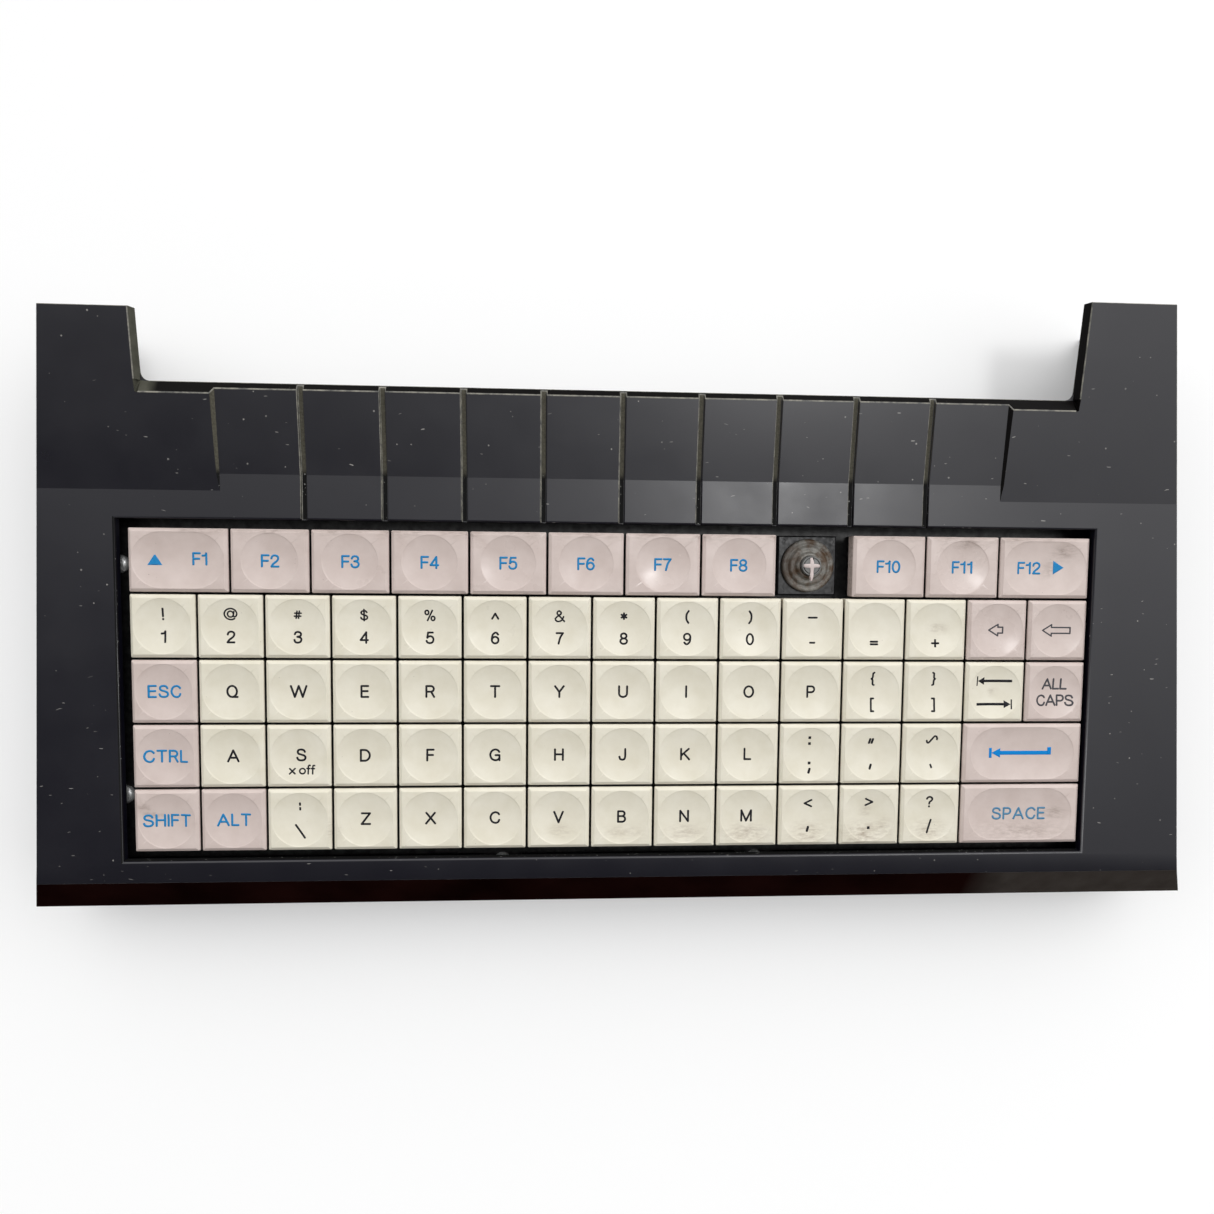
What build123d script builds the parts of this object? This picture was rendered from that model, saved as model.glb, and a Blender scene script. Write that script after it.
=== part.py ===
from build123d import *
import math
import os

# Operator panel for a machine control: a sloping moulded housing with seventy sealed key switches.
# Frame: +X to the operator's right, +Y away from the operator, +Z up out of the keys.
# The origin is the centre of the housing's own rectangle, on the face that it lies on.
# Distances called along_... and the bends below are measured from the middle of the keyboard.

# Overall sizes of the housing
panel_width = 357.0
panel_depth = 181.4
deck_height = 34.0
wall = 3.0

# Keyboard grid
key_pitch = 19.05
key_rows = 5
key_columns = 15
keyboard_x = -3.5
end_key_units = 1.5
function_key_units = 1.2
double_key_units = 2.0

# Deck with its key opening, and the sloping front
opening_left_clearance = 2.9
opening_right_clearance = 0.9
opening_end_clearance = 2.55
opening_chamfer = 0.4
front_rim = 1.1
apron_depth = 5.5
facet_depth = 9.6
apron_drop = 0.95
lip_drop = 7.7

# Rising rear half: the wings' slope and the panels' slope start at their own bends
rear_rim = 8.1
recess_lead = 4.8
panel_length = 22.0
wing_slope = 8.0
panel_slope = 7.0
left_tip_setback = 8.0

# How far each side lies inside the overall width, at each bend of the plan
left_insets = {"crease": 4.2, "bend": 5.0, "wing": 8.4, "shoulder": 11.4, "tip": 13.9}
right_insets = {"crease": 6.0, "bend": 7.1, "wing": 13.1, "shoulder": 17.5, "tip": 22.3}

# Display bay between the wings, with its bevelled rim
bay_width = 271.4
bay_shift = -1.6
bay_side_bevel = 0.8
bay_foot_bevel = 3.4
bay_bevel_depth = 2.4
bay_corner_radius = 2.4
rear_wall = 3.8
gusset_thickness = 2.0
gusset_width = 9.0
gusset_height = 20.0
gusset_pitch = 8.0
gusset_count = 3

# Recessed panels and the grooves between them
recess_margin = 0.3
recess_shift = -1.5
groove_count = 9
groove_width = 1.6
groove_depth = 0.9
groove_shift = -1.2

# Keycaps
key_gap = 0.55
cap_below_deck = 1.3
cap_bevel_width = 0.95
cap_bevel_height = 0.6
cap_skirt = 4.2
cap_wall = 1.0
cap_roof_drop = 1.6
dish_margin = 0.15
dish_depth = 0.95
end_dish_margin = 2.025
double_dish_margin = 4.55
key_travel = 3.2

# Stem, and the cross under the cap that plugs into it
stem_diameter = 6.0
stem_top_drop = 2.4
stem_length = 10.1
slot_length = 5.2
slot_width = 1.25
slot_depth = 3.0
cross_clearance = 0.05
cross_foot_clearance = 0.2
cross_neck_diameter = 5.6
stub_height = 2.3
spring_pocket_diameter = 5.0
spring_pocket_depth = 2.5

# Switch body, its pins and its spring
body_top_drop = 7.8
body_gap = 0.75
body_head = 4.0
body_foot_gap = 5.05
body_foot = 5.7
body_floor = 1.3
body_chamfer = 0.4
bore_clearance = 0.15
mark_diameter = 1.4
mark_depth = 0.25
mark_inset = 1.6
pin_width = 1.2
pin_thickness = 0.6
pin_length = 3.5
pin_spacing = 7.0
spring_outer = 4.6
spring_inner = 3.4
spring_gap = 0.2

# Rubber boots: a low one under each cap, and a tall one where the cap is missing
boot_cap_clearance = 0.35
boot_height = 2.3
boot_skin = 0.5
boot_collar_height = 0.8
boot_collar_wall = 0.6
boot_stem_clearance = 0.1
tall_boot_inset = 0.95
tall_boot_height = 3.6
tall_boot_collar_diameter = 7.05
tall_boot_fold = 0.7
tall_boot_folds = 2

# Switch plate and its screws
plate_side_ledge = 14.9
plate_end_ledge = 5.65
plate_thickness = 1.5
plate_cutout_clearance = 0.1
left_screw_out = 7.8
right_screw_out = 11.0
screw_back_y = 36.7
screw_front_y = -33.4
middle_screw_x = 40.0
middle_screw_out = 8.05
plate_ear_width = 12.0
plate_ear_rim = 3.2
plate_screw_head = 5.4
plate_screw_head_height = 2.0
plate_screw_head_round = 0.9
plate_screw_shank = 2.5
plate_screw_length = 12.0
driver_slot_width = 0.7
driver_slot_depth = 0.9
screw_hole_clearance = 0.2
thread_clearance = 0.05
screw_end_gap = 1.0

# Circuit board, its spacers and screws
board_side_rim = 1.4
board_end_rim = -0.85
board_thickness = 1.6
board_hole_clearance = 0.15
tongue_width = 56.0
tongue_x = -92.0
tongue_gap = 0.3
spacer_clearance = 0.275
spacer_columns = (1, 5, 9, 13)
spacer_rows = (0.5, -1.5)
board_screw_shank = 2.4
board_screw_length = 3.5
board_screw_head = 4.4
board_screw_head_height = 1.4

# Chips under the board
scanner_chip = {"width": 18.0, "depth": 18.0, "height": 2.4}
latch_chip = {"width": 20.0, "depth": 7.5, "height": 3.2}
driver_chip = {"width": 15.0, "depth": 7.5, "height": 3.2}
scanner_behind_board = 15.5
driver_chip_x = -85.0
chip_row_shares = (0.5, -0.5)
chip_chamfer = 0.4

# Back cover, its screws, and the four threaded posts that hold the panel to a machine
cover_thickness = 2.5
cover_clearance = 0.3
cover_pad_height = 1.5
post_diameter = 8.0
boss_diameter = 9.0
front_boss_inset = 15.5
back_boss_lead = 1.5
middle_boss_x = 60.0
front_boss_gap = 0.4
back_boss_in = 7.5
cover_screw_shank = 3.0
cover_screw_head = 6.6
cover_screw_head_height = 1.8
cover_screw_recess = 2.0
cover_screw_length = 14.0
mount_spacing_x = 260.0
mount_spacing_y_share = 3
mount_post_diameter = 9.0
mount_post_gap = 4.0
mount_hole_diameter = 3.3
mount_hole_roof = 1.6
rib_height_share = 0.43
rib_thickness = 1.6
rib_end_gap = 4.0
rib_row_share = 2

# Data connector, standing on the board's tongue and reaching through the rear wall
connector_rise = 6.3
flange_width = 53.0
flange_height = 12.5
flange_thickness = 1.0
shell_width = 38.6
shell_height = 8.3
shell_slant = 1.4
shell_reach = 4.6
shell_skin = 0.5
window_clearance = 0.3
socket_block_width = 39.0
socket_block_depth = 8.0
contact_counts = (13, 12)
contact_pitch = 2.76
contact_row_pitch = 2.84
contact_diameter = 1.0
contact_reach = 3.8
jackscrew_spacing = 47.0
jackscrew_across_flats = 4.8
jackscrew_reach = 4.2
jackscrew_shank = 2.8

# One overrun serves all cuts
over = 5.0

# Places worked out from the sizes above
keyboard_half_width = (key_columns * key_pitch - key_gap) / 2
keyboard_half_depth = (key_rows * key_pitch - key_gap) / 2
opening_width = 2 * keyboard_half_width + opening_left_clearance + opening_right_clearance
opening_depth = 2 * (keyboard_half_depth + opening_end_clearance)
along_front_bend = -opening_depth / 2 - front_rim
along_crease = along_front_bend - apron_depth
front_to_keyboard = facet_depth - along_crease
front_y = -panel_depth / 2
keyboard_y = front_y + front_to_keyboard
along_wing_bend = opening_depth / 2 + rear_rim
along_panel_bend = along_wing_bend + recess_lead
along_bay_edge = along_panel_bend + panel_length
along_rear_wall = along_bay_edge - rear_wall
along_right_tip = panel_depth - front_to_keyboard
along_left_tip = along_right_tip - left_tip_setback
opening_x = keyboard_x + (opening_right_clearance - opening_left_clearance) / 2
bay_x = keyboard_x + bay_shift
groove_pitch = function_key_units * key_pitch
recess_width = (groove_count + 1) * groove_pitch + 2 * recess_margin
recess_x = keyboard_x + recess_shift
groove_x = keyboard_x + groove_shift
cap_edge_z = deck_height - cap_below_deck
cap_roof_z = cap_edge_z - cap_roof_drop
stem_top_z = cap_edge_z - stem_top_drop
stem_foot_z = stem_top_z - stem_length
cap_size = key_pitch - key_gap
body_size = key_pitch - body_gap
body_foot_size = key_pitch - body_foot_gap
plate_half_width = keyboard_half_width + plate_side_ledge
plate_half_depth = keyboard_half_depth + plate_end_ledge
board_half_width = keyboard_half_width + board_side_rim
board_half_depth = keyboard_half_depth + board_end_rim
body_top_z = cap_edge_z - body_top_drop
plate_top_z = body_top_z - body_head
plate_foot_z = plate_top_z - plate_thickness
board_top_z = plate_top_z - body_foot
board_foot_z = board_top_z - board_thickness
body_floor_z = board_top_z + body_floor
spring_closed = stem_foot_z - key_travel + spring_pocket_depth - body_floor_z - spring_gap
boss_foot_z = cover_thickness + cover_pad_height
back_boss_inset = right_insets["shoulder"] + wall + boss_diameter / 2 - back_boss_lead
rib_height = (board_top_z - pin_length - cover_thickness) * rib_height_share
mount_post_top_z = board_foot_z - mount_post_gap
connector_x = keyboard_x + tongue_x
connector_z = board_top_z + connector_rise
wing_rise = math.tan(math.radians(wing_slope))
panel_rise = math.tan(math.radians(panel_slope))


def grid_y(distance):
    """The row of a place given by its distance from the middle of the keyboard."""
    return keyboard_y + distance


def wing_z(distance):
    """Height of the wings' plane at that distance."""
    return deck_height + (distance - along_wing_bend) * wing_rise


def panel_z(distance):
    """Height of the recessed panels' plane at that distance."""
    return deck_height + (distance - along_panel_bend) * panel_rise


def side_x(side, distance):
    """Where the left (-1) or right (1) side lies, from the shoulder to the tip and beyond."""
    insets = left_insets if side < 0 else right_insets
    along_tip = along_left_tip if side < 0 else along_right_tip
    share = (distance - along_bay_edge) / (along_tip - along_bay_edge)
    inset = insets["shoulder"] + (insets["tip"] - insets["shoulder"]) * share
    return side * (panel_width / 2 - inset)


def save(piece, name):
    """Label a finished piece and write it to its own file."""
    piece.label = name
    export_step(piece, "parts/" + name + ".step")


def place_all(unit, spots):
    """Copies of one piece at many spots, kept as separate solids."""
    return Compound(children=[unit.moved(Location((x, y, 0))) for x, y in spots])


os.makedirs("parts", exist_ok=True)

# Key places: every row is a list of (node, width in key units), from the left
digit_names = ("one", "two", "three", "four", "five", "six", "seven", "eight", "nine", "zero")
function_row = [("f1_key", end_key_units)]
function_row += [("f%d_key" % n, function_key_units) for n in range(2, 9)]
function_row += [("f9_stem", function_key_units)]
function_row += [("f%d_key" % n, function_key_units) for n in range(10, 12)]
function_row += [("f12_key", end_key_units)]
number_row = [(name + "_key", 1) for name in digit_names]
number_row += [(name + "_key", 1) for name in ("minus", "equals", "plus", "short_arrow", "long_arrow")]
upper_row = [("esc_key", 1)] + [("upper_letter_keys", 1)] * 10
upper_row += [(name + "_key", 1) for name in ("left_bracket", "right_bracket", "tab", "all_caps")]
middle_row = [("ctrl_key", 1)] + [("middle_letter_keys", 1)] * 9
middle_row += [(name + "_key", 1) for name in ("semicolon", "quote", "tilde")]
middle_row += [("enter_key", double_key_units)]
lower_row = [(name + "_key", 1) for name in ("shift", "alt", "backslash")]
lower_row += [("lower_letter_keys", 1)] * 7
lower_row += [(name + "_key", 1) for name in ("comma", "period", "slash")]
lower_row += [("space_key", double_key_units)]

key_places = []
for row_number, row in enumerate((function_row, number_row, upper_row, middle_row, lower_row)):
    row_y = keyboard_y + ((key_rows - 1) / 2 - row_number) * key_pitch
    units_done = 0
    for node, units in row:
        key_x = keyboard_x + (units_done + units / 2 - key_columns / 2) * key_pitch
        key_places.append((node, units, key_x, row_y))
        units_done += units

switch_spots = [(x, y) for _, _, x, y in key_places]
capped_spots = [(x, y) for node, _, x, y in key_places if node != "f9_stem"]
bare_spots = [(x, y) for node, _, x, y in key_places if node == "f9_stem"]
side_screw_rows = (grid_y(screw_back_y), grid_y(screw_front_y))
left_screws = [(keyboard_x - keyboard_half_width - left_screw_out, y) for y in side_screw_rows]
right_screws = [(keyboard_x + keyboard_half_width + right_screw_out, y) for y in side_screw_rows]
middle_screw_y = keyboard_half_depth + middle_screw_out
middle_screws = [(x, grid_y(y)) for x in (-middle_screw_x, middle_screw_x)
                 for y in (-middle_screw_y, middle_screw_y)]
plate_screw_spots = left_screws + right_screws + middle_screws
spacer_spots = [(keyboard_x + (column - key_columns / 2) * key_pitch, grid_y(row * key_pitch))
                for column in spacer_columns for row in spacer_rows]
along_front_boss = wall + front_boss_gap + boss_diameter / 2 - front_to_keyboard
along_back_boss = along_rear_wall - back_boss_in
boss_rows = ((panel_width / 2 - front_boss_inset, along_front_boss),
             (panel_width / 2 - back_boss_inset, along_back_boss),
             (middle_boss_x, along_front_boss), (middle_boss_x, along_back_boss))
boss_spots = [(side * x, grid_y(along)) for x, along in boss_rows for side in (-1, 1)]
mount_spacing_y = mount_spacing_y_share * key_pitch
mount_spots = [(sx * mount_spacing_x / 2, grid_y(sy * mount_spacing_y / 2))
               for sx in (-1, 1) for sy in (-1, 1)]


# Outlines shared by the housing, its inner space and the cover
def side_profile(foot_z):
    """Side view of the housing as (y, z), down to a chosen foot."""
    return [
        (front_y, foot_z),
        (front_y, deck_height - lip_drop),
        (grid_y(along_crease), deck_height - apron_drop),
        (grid_y(along_front_bend), deck_height),
        (grid_y(along_wing_bend), deck_height),
        (grid_y(along_right_tip), wing_z(along_right_tip)),
        (grid_y(along_right_tip), foot_z),
    ]


half_width = panel_width / 2
plan_outline = [
    (-half_width, front_y),
    (half_width, front_y),
    (half_width - right_insets["crease"], grid_y(along_crease)),
    (half_width - right_insets["bend"], grid_y(along_front_bend)),
    (half_width - right_insets["wing"], grid_y(along_wing_bend)),
    (half_width - right_insets["shoulder"], grid_y(along_bay_edge)),
    (half_width - right_insets["tip"], grid_y(along_right_tip)),
    (bay_x, grid_y(along_right_tip)),
    (bay_x, grid_y(along_left_tip)),
    (left_insets["tip"] - half_width, grid_y(along_left_tip)),
    (left_insets["shoulder"] - half_width, grid_y(along_bay_edge)),
    (left_insets["wing"] - half_width, grid_y(along_wing_bend)),
    (left_insets["bend"] - half_width, grid_y(along_front_bend)),
    (left_insets["crease"] - half_width, grid_y(along_crease)),
]


def inner_plan(plane, inset):
    """Plan of the body in front of the rear wall, drawn in by an inset."""
    with BuildSketch(plane) as plan:
        with BuildLine():
            Polyline(*plan_outline, close=True)
        make_face()
        offset(amount=-inset, kind=Kind.INTERSECTION)
        with Locations((0, grid_y(along_rear_wall) + wall - inset)):
            Rectangle(2 * panel_width, panel_depth, align=(Align.CENTER, Align.MIN), mode=Mode.SUBTRACT)
    return plan.sketch


# Inner space of the body, with the screw bosses left standing in it
with BuildPart() as inner_space:
    with BuildSketch(Plane.YZ.offset(-panel_width)):
        with BuildLine():
            Polyline(*side_profile(-over - wall), close=True)
        make_face()
        offset(amount=-wall, kind=Kind.INTERSECTION)
    extrude(amount=2 * panel_width)
    extrude(inner_plan(Plane.XY.offset(-over), wall), amount=deck_height + panel_depth, mode=Mode.INTERSECT)
    with BuildSketch(Plane.XY.offset(boss_foot_z)):
        with Locations(*boss_spots):
            Circle(boss_diameter / 2)
    extrude(amount=deck_height + panel_depth, mode=Mode.SUBTRACT)

# Open space under the two wings, behind the rear wall
wing_space_end = along_right_tip + over
with BuildPart() as wing_space:
    with BuildSketch(Plane.YZ.offset(-panel_width)):
        with BuildLine():
            Polyline(
                (grid_y(along_bay_edge), -over),
                (grid_y(along_bay_edge), wing_z(along_bay_edge) - wall),
                (grid_y(wing_space_end), wing_z(wing_space_end) - wall),
                (grid_y(wing_space_end), -over),
                close=True,
            )
        make_face()
    extrude(amount=2 * panel_width)
    with BuildSketch(Plane.XY.offset(-over)):
        with BuildLine():
            Polyline(
                (side_x(-1, along_bay_edge) + wall, grid_y(along_bay_edge)),
                (side_x(-1, wing_space_end) + wall, grid_y(wing_space_end)),
                (side_x(1, wing_space_end) - wall, grid_y(wing_space_end)),
                (side_x(1, along_bay_edge) - wall, grid_y(along_bay_edge)),
                close=True,
            )
        make_face()
    extrude(amount=deck_height + panel_depth, mode=Mode.INTERSECT)

# Display bay: straight down inside the rim, and the bevel that leads down to it
rim_along = along_bay_edge + bay_foot_bevel
corner_along = rim_along + bay_corner_radius
bevel_drop = bay_bevel_depth / math.cos(math.radians(wing_slope))
with BuildPart() as display_bay:
    with BuildSketch(Plane.XY.offset(-over)) as bay_plan:
        with Locations((bay_x, grid_y(rim_along))):
            Rectangle(
                bay_width - 2 * bay_side_bevel,
                along_right_tip - rim_along + over,
                align=(Align.CENTER, Align.MIN),
            )
        fillet(bay_plan.vertices().group_by(Axis.Y)[0], bay_corner_radius)
    extrude(amount=deck_height + panel_depth)
    with BuildSketch(Plane.YZ.offset(bay_x - bay_width / 2)):
        with BuildLine():
            Polyline(
                (grid_y(along_bay_edge), wing_z(along_bay_edge)),
                (grid_y(rim_along), wing_z(rim_along) - bevel_drop),
                (grid_y(rim_along), wing_z(rim_along) + over),
                (grid_y(along_bay_edge), wing_z(along_bay_edge) + over),
                close=True,
            )
        make_face()
    extrude(amount=bay_width)
    # Room above the rounded corners, level with the foot of the bevels on both sides
    with BuildSketch(Plane.YZ.offset(bay_x - bay_width / 2 + bay_side_bevel)):
        with BuildLine():
            Polyline(
                (grid_y(rim_along), wing_z(rim_along) - bevel_drop),
                (grid_y(corner_along), wing_z(corner_along) - bevel_drop),
                (grid_y(corner_along), wing_z(corner_along) + over),
                (grid_y(rim_along), wing_z(rim_along) + over),
                close=True,
            )
        make_face()
    extrude(amount=bay_width - 2 * bay_side_bevel)
    slope_up = Vector(0, math.cos(math.radians(wing_slope)), math.sin(math.radians(wing_slope)))
    for side in (-1, 1):
        corner = (bay_x + side * bay_width / 2, grid_y(along_bay_edge), wing_z(along_bay_edge))
        with BuildSketch(Plane(origin=corner, x_dir=(1, 0, 0), z_dir=slope_up)):
            with BuildLine():
                Polyline(
                    (0, 0),
                    (-side * bay_side_bevel, bay_bevel_depth),
                    (-side * bay_side_bevel, -over),
                    (0, -over),
                    close=True,
                )
            make_face()
        extrude(amount=panel_depth)

# Recess over the ten panels: a level length at the deck, then a length up the slope
recess_reach = rim_along - along_panel_bend + over
recess_height = over
panel_up = Vector(0, math.cos(math.radians(panel_slope)), math.sin(math.radians(panel_slope)))
with BuildPart() as recess_cut:
    for along, direction, length in (
        (along_wing_bend, Vector(0, 1, 0), along_panel_bend - along_wing_bend),
        (along_panel_bend, panel_up, recess_reach),
    ):
        start = (recess_x, grid_y(along), deck_height)
        with BuildSketch(Plane(origin=start, x_dir=(1, 0, 0), z_dir=direction)):
            with BuildLine():
                Polyline(
                    (-recess_width / 2, 0),
                    (recess_width / 2, 0),
                    (recess_width / 2 + recess_height, -recess_height),
                    (-recess_width / 2 - recess_height, -recess_height),
                    close=True,
                )
            make_face()
        extrude(amount=length)

# Grooves between the panels, from the key opening up to the bay
groove_end = rim_along + over
with BuildPart() as groove_cut:
    with BuildSketch(Plane.YZ.offset(groove_x - groove_width / 2)):
        with BuildLine():
            Polyline(
                (keyboard_y + opening_depth / 2 - over, deck_height - groove_depth),
                (grid_y(along_panel_bend), deck_height - groove_depth),
                (grid_y(groove_end), panel_z(groove_end) - groove_depth),
                (grid_y(groove_end), wing_z(groove_end) + over),
                (keyboard_y + opening_depth / 2 - over, deck_height + over),
                close=True,
            )
        make_face()
    extrude(amount=groove_width)
groove_spots = [((n - (groove_count - 1) / 2) * groove_pitch, 0) for n in range(groove_count)]

# Top housing
with BuildPart() as top_housing:
    with BuildSketch(Plane.YZ.offset(-panel_width)):
        with BuildLine():
            Polyline(*side_profile(0), close=True)
        make_face()
    extrude(amount=2 * panel_width)
    with BuildSketch():
        with BuildLine():
            Polyline(*plan_outline, close=True)
        make_face()
    extrude(amount=deck_height + panel_depth, mode=Mode.INTERSECT)
    add(inner_space.part, mode=Mode.SUBTRACT)
    add(wing_space.part, mode=Mode.SUBTRACT)
    add(display_bay.part, mode=Mode.SUBTRACT)
    add(recess_cut.part, mode=Mode.SUBTRACT)
    add(place_all(groove_cut.part, groove_spots), mode=Mode.SUBTRACT)
    # Key opening with a softened upper edge
    with BuildSketch(Plane.XY.offset(deck_height)):
        with Locations((opening_x, keyboard_y)):
            Rectangle(opening_width, opening_depth)
    extrude(amount=-deck_height, mode=Mode.SUBTRACT)
    with BuildSketch(Plane.XY.offset(deck_height)):
        with Locations((opening_x, keyboard_y)):
            Rectangle(opening_width + 2 * opening_chamfer, opening_depth + 2 * opening_chamfer)
    extrude(amount=-opening_chamfer, taper=math.degrees(math.atan(1)), mode=Mode.SUBTRACT)
    # Threaded holes in the bosses
    with BuildSketch(Plane.XY.offset(boss_foot_z)):
        with Locations(*boss_spots):
            Circle(cover_screw_shank / 2 + thread_clearance)
    boss_hole = cover_screw_recess + cover_screw_length - boss_foot_z + screw_end_gap
    extrude(amount=boss_hole, mode=Mode.SUBTRACT)
    # Gussets between each wing and its outer side
    for side, along_tip in ((-1, along_left_tip), (1, along_right_tip)):
        for number in range(gusset_count):
            along = along_tip - gusset_pitch * (number + 1)
            with BuildSketch(Plane.XZ.offset(-grid_y(along))):
                with BuildLine():
                    corner_x = side_x(side, along) - side * wall / 2
                    corner_z = wing_z(along) - wall / 2
                    Polyline(
                        (corner_x, corner_z),
                        (corner_x - side * gusset_width, corner_z),
                        (corner_x, corner_z - gusset_height),
                        close=True,
                    )
                make_face()
            extrude(amount=gusset_thickness)
    # Window and two screw holes for the data connector, through the rear wall
    with BuildSketch(Plane.XZ.offset(-grid_y(along_rear_wall - over / 2))):
        with Locations((connector_x, connector_z)):
            Rectangle(shell_width + 2 * window_clearance, shell_height + 2 * window_clearance)
        with Locations((connector_x - jackscrew_spacing / 2, connector_z),
                       (connector_x + jackscrew_spacing / 2, connector_z)):
            Circle(jackscrew_shank / 2 + screw_hole_clearance)
    extrude(amount=-(rear_wall + over), mode=Mode.SUBTRACT)
save(top_housing.part, "top_housing")

# Back cover, with posts for the switch plate, pads for the bosses, ribs and four threaded posts
with BuildPart() as back_cover:
    extrude(inner_plan(Plane.XY, wall + cover_clearance), amount=cover_thickness)
    with BuildSketch(Plane.XY.offset(cover_thickness)):
        with Locations((keyboard_x, keyboard_y)):
            with GridLocations(0, rib_row_share * key_pitch, 1, 2):
                Rectangle(2 * (board_half_width - rib_end_gap), rib_thickness)
    extrude(amount=rib_height)
    with BuildSketch(Plane.XY.offset(cover_thickness)):
        with Locations(*boss_spots):
            Circle(boss_diameter / 2)
    extrude(amount=cover_pad_height)
    with BuildSketch(Plane.XY.offset(cover_thickness)):
        with Locations(*plate_screw_spots):
            Circle(post_diameter / 2)
    extrude(amount=plate_foot_z - cover_thickness)
    with BuildSketch(Plane.XY.offset(cover_thickness)):
        with Locations(*mount_spots):
            Circle(mount_post_diameter / 2)
    extrude(amount=mount_post_top_z - cover_thickness)
    with BuildSketch(Plane.XY.offset(plate_foot_z)):
        with Locations(*plate_screw_spots):
            Circle(plate_screw_shank / 2 + thread_clearance)
    extrude(amount=-(plate_screw_length - plate_thickness + screw_end_gap), mode=Mode.SUBTRACT)
    with BuildSketch():
        with Locations(*mount_spots):
            Circle(mount_hole_diameter / 2)
    extrude(amount=mount_post_top_z - mount_hole_roof, mode=Mode.SUBTRACT)
    with BuildSketch():
        with Locations(*boss_spots):
            Circle(cover_screw_head / 2 + screw_hole_clearance)
    extrude(amount=cover_screw_recess, mode=Mode.SUBTRACT)
    with BuildSketch():
        with Locations(*boss_spots):
            Circle(cover_screw_shank / 2 + screw_hole_clearance)
    extrude(amount=boss_foot_z, mode=Mode.SUBTRACT)
save(back_cover.part, "back_cover")

# Cover screws, their heads sunk in the cover
with BuildPart() as cover_screw:
    with BuildSketch(Plane.XY.offset(cover_screw_recess)):
        Circle(cover_screw_head / 2)
    extrude(amount=-cover_screw_head_height)
    with BuildSketch(Plane.XY.offset(cover_screw_recess)):
        Circle(cover_screw_shank / 2)
    extrude(amount=cover_screw_length)
    with BuildSketch(Plane.XY.offset(cover_screw_recess - cover_screw_head_height)):
        Rectangle(cover_screw_head, driver_slot_width)
    extrude(amount=driver_slot_depth, mode=Mode.SUBTRACT)
save(place_all(cover_screw.part, boss_spots), "cover_screws")

# Switch plate
with BuildPart() as switch_plate:
    with BuildSketch(Plane.XY.offset(plate_foot_z)):
        with Locations((keyboard_x, keyboard_y)):
            Rectangle(2 * plate_half_width, 2 * plate_half_depth)
        with Locations((-middle_screw_x, keyboard_y), (middle_screw_x, keyboard_y)):
            Rectangle(plate_ear_width, 2 * (middle_screw_y + plate_ear_rim))
        with Locations(*switch_spots):
            cutout = body_foot_size + 2 * plate_cutout_clearance
            Rectangle(cutout, cutout, mode=Mode.SUBTRACT)
        with Locations(*plate_screw_spots):
            Circle(plate_screw_shank / 2 + screw_hole_clearance, mode=Mode.SUBTRACT)
    extrude(amount=plate_thickness)
save(switch_plate.part, "switch_plate")

# Plate screws with slotted round heads
with BuildPart() as plate_screw:
    with BuildSketch(Plane.XY.offset(plate_top_z)):
        Circle(plate_screw_head / 2)
    extrude(amount=plate_screw_head_height)
    fillet(plate_screw.edges().filter_by(GeomType.CIRCLE).sort_by(Axis.Z)[-1], plate_screw_head_round)
    with BuildSketch(Plane.XY.offset(plate_top_z)):
        Circle(plate_screw_shank / 2)
    extrude(amount=-plate_screw_length)
    with BuildSketch(Plane.XY.offset(plate_top_z + plate_screw_head_height)):
        Rectangle(driver_slot_width, plate_screw_head)
    extrude(amount=-driver_slot_depth, mode=Mode.SUBTRACT)
save(place_all(plate_screw.part, plate_screw_spots), "plate_screws")

# Switch body: head on the plate, foot through it, pins through the board
with BuildPart() as switch_body:
    with BuildSketch(Plane.XY.offset(plate_top_z)):
        Rectangle(body_size, body_size)
    extrude(amount=body_head)
    chamfer(switch_body.faces().sort_by(Axis.Z)[-1].edges(), body_chamfer)
    with BuildSketch(Plane.XY.offset(board_top_z)):
        Rectangle(body_foot_size, body_foot_size)
    extrude(amount=body_foot)
    with BuildSketch(Plane.XY.offset(body_floor_z)):
        Circle(stem_diameter / 2 + bore_clearance)
    extrude(amount=body_top_z - body_floor_z, mode=Mode.SUBTRACT)
    mark_place = body_size / 2 - mark_inset
    with BuildSketch(Plane.XY.offset(body_top_z)):
        with GridLocations(2 * mark_place, 2 * mark_place, 2, 2):
            Circle(mark_diameter / 2)
    extrude(amount=-mark_depth, mode=Mode.SUBTRACT)
    with BuildSketch(Plane.XY.offset(board_top_z)):
        with GridLocations(pin_spacing, 0, 2, 1):
            Rectangle(pin_thickness, pin_width)
    extrude(amount=-pin_length)
save(place_all(switch_body.part, switch_spots), "switch_bodies")

# Return springs, pressed flat on the floor of their bodies
with BuildPart() as key_spring:
    with BuildSketch(Plane.XY.offset(body_floor_z)):
        Circle(spring_outer / 2)
        Circle(spring_inner / 2, mode=Mode.SUBTRACT)
    extrude(amount=spring_closed)
save(place_all(key_spring.part, switch_spots), "key_springs")

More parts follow.
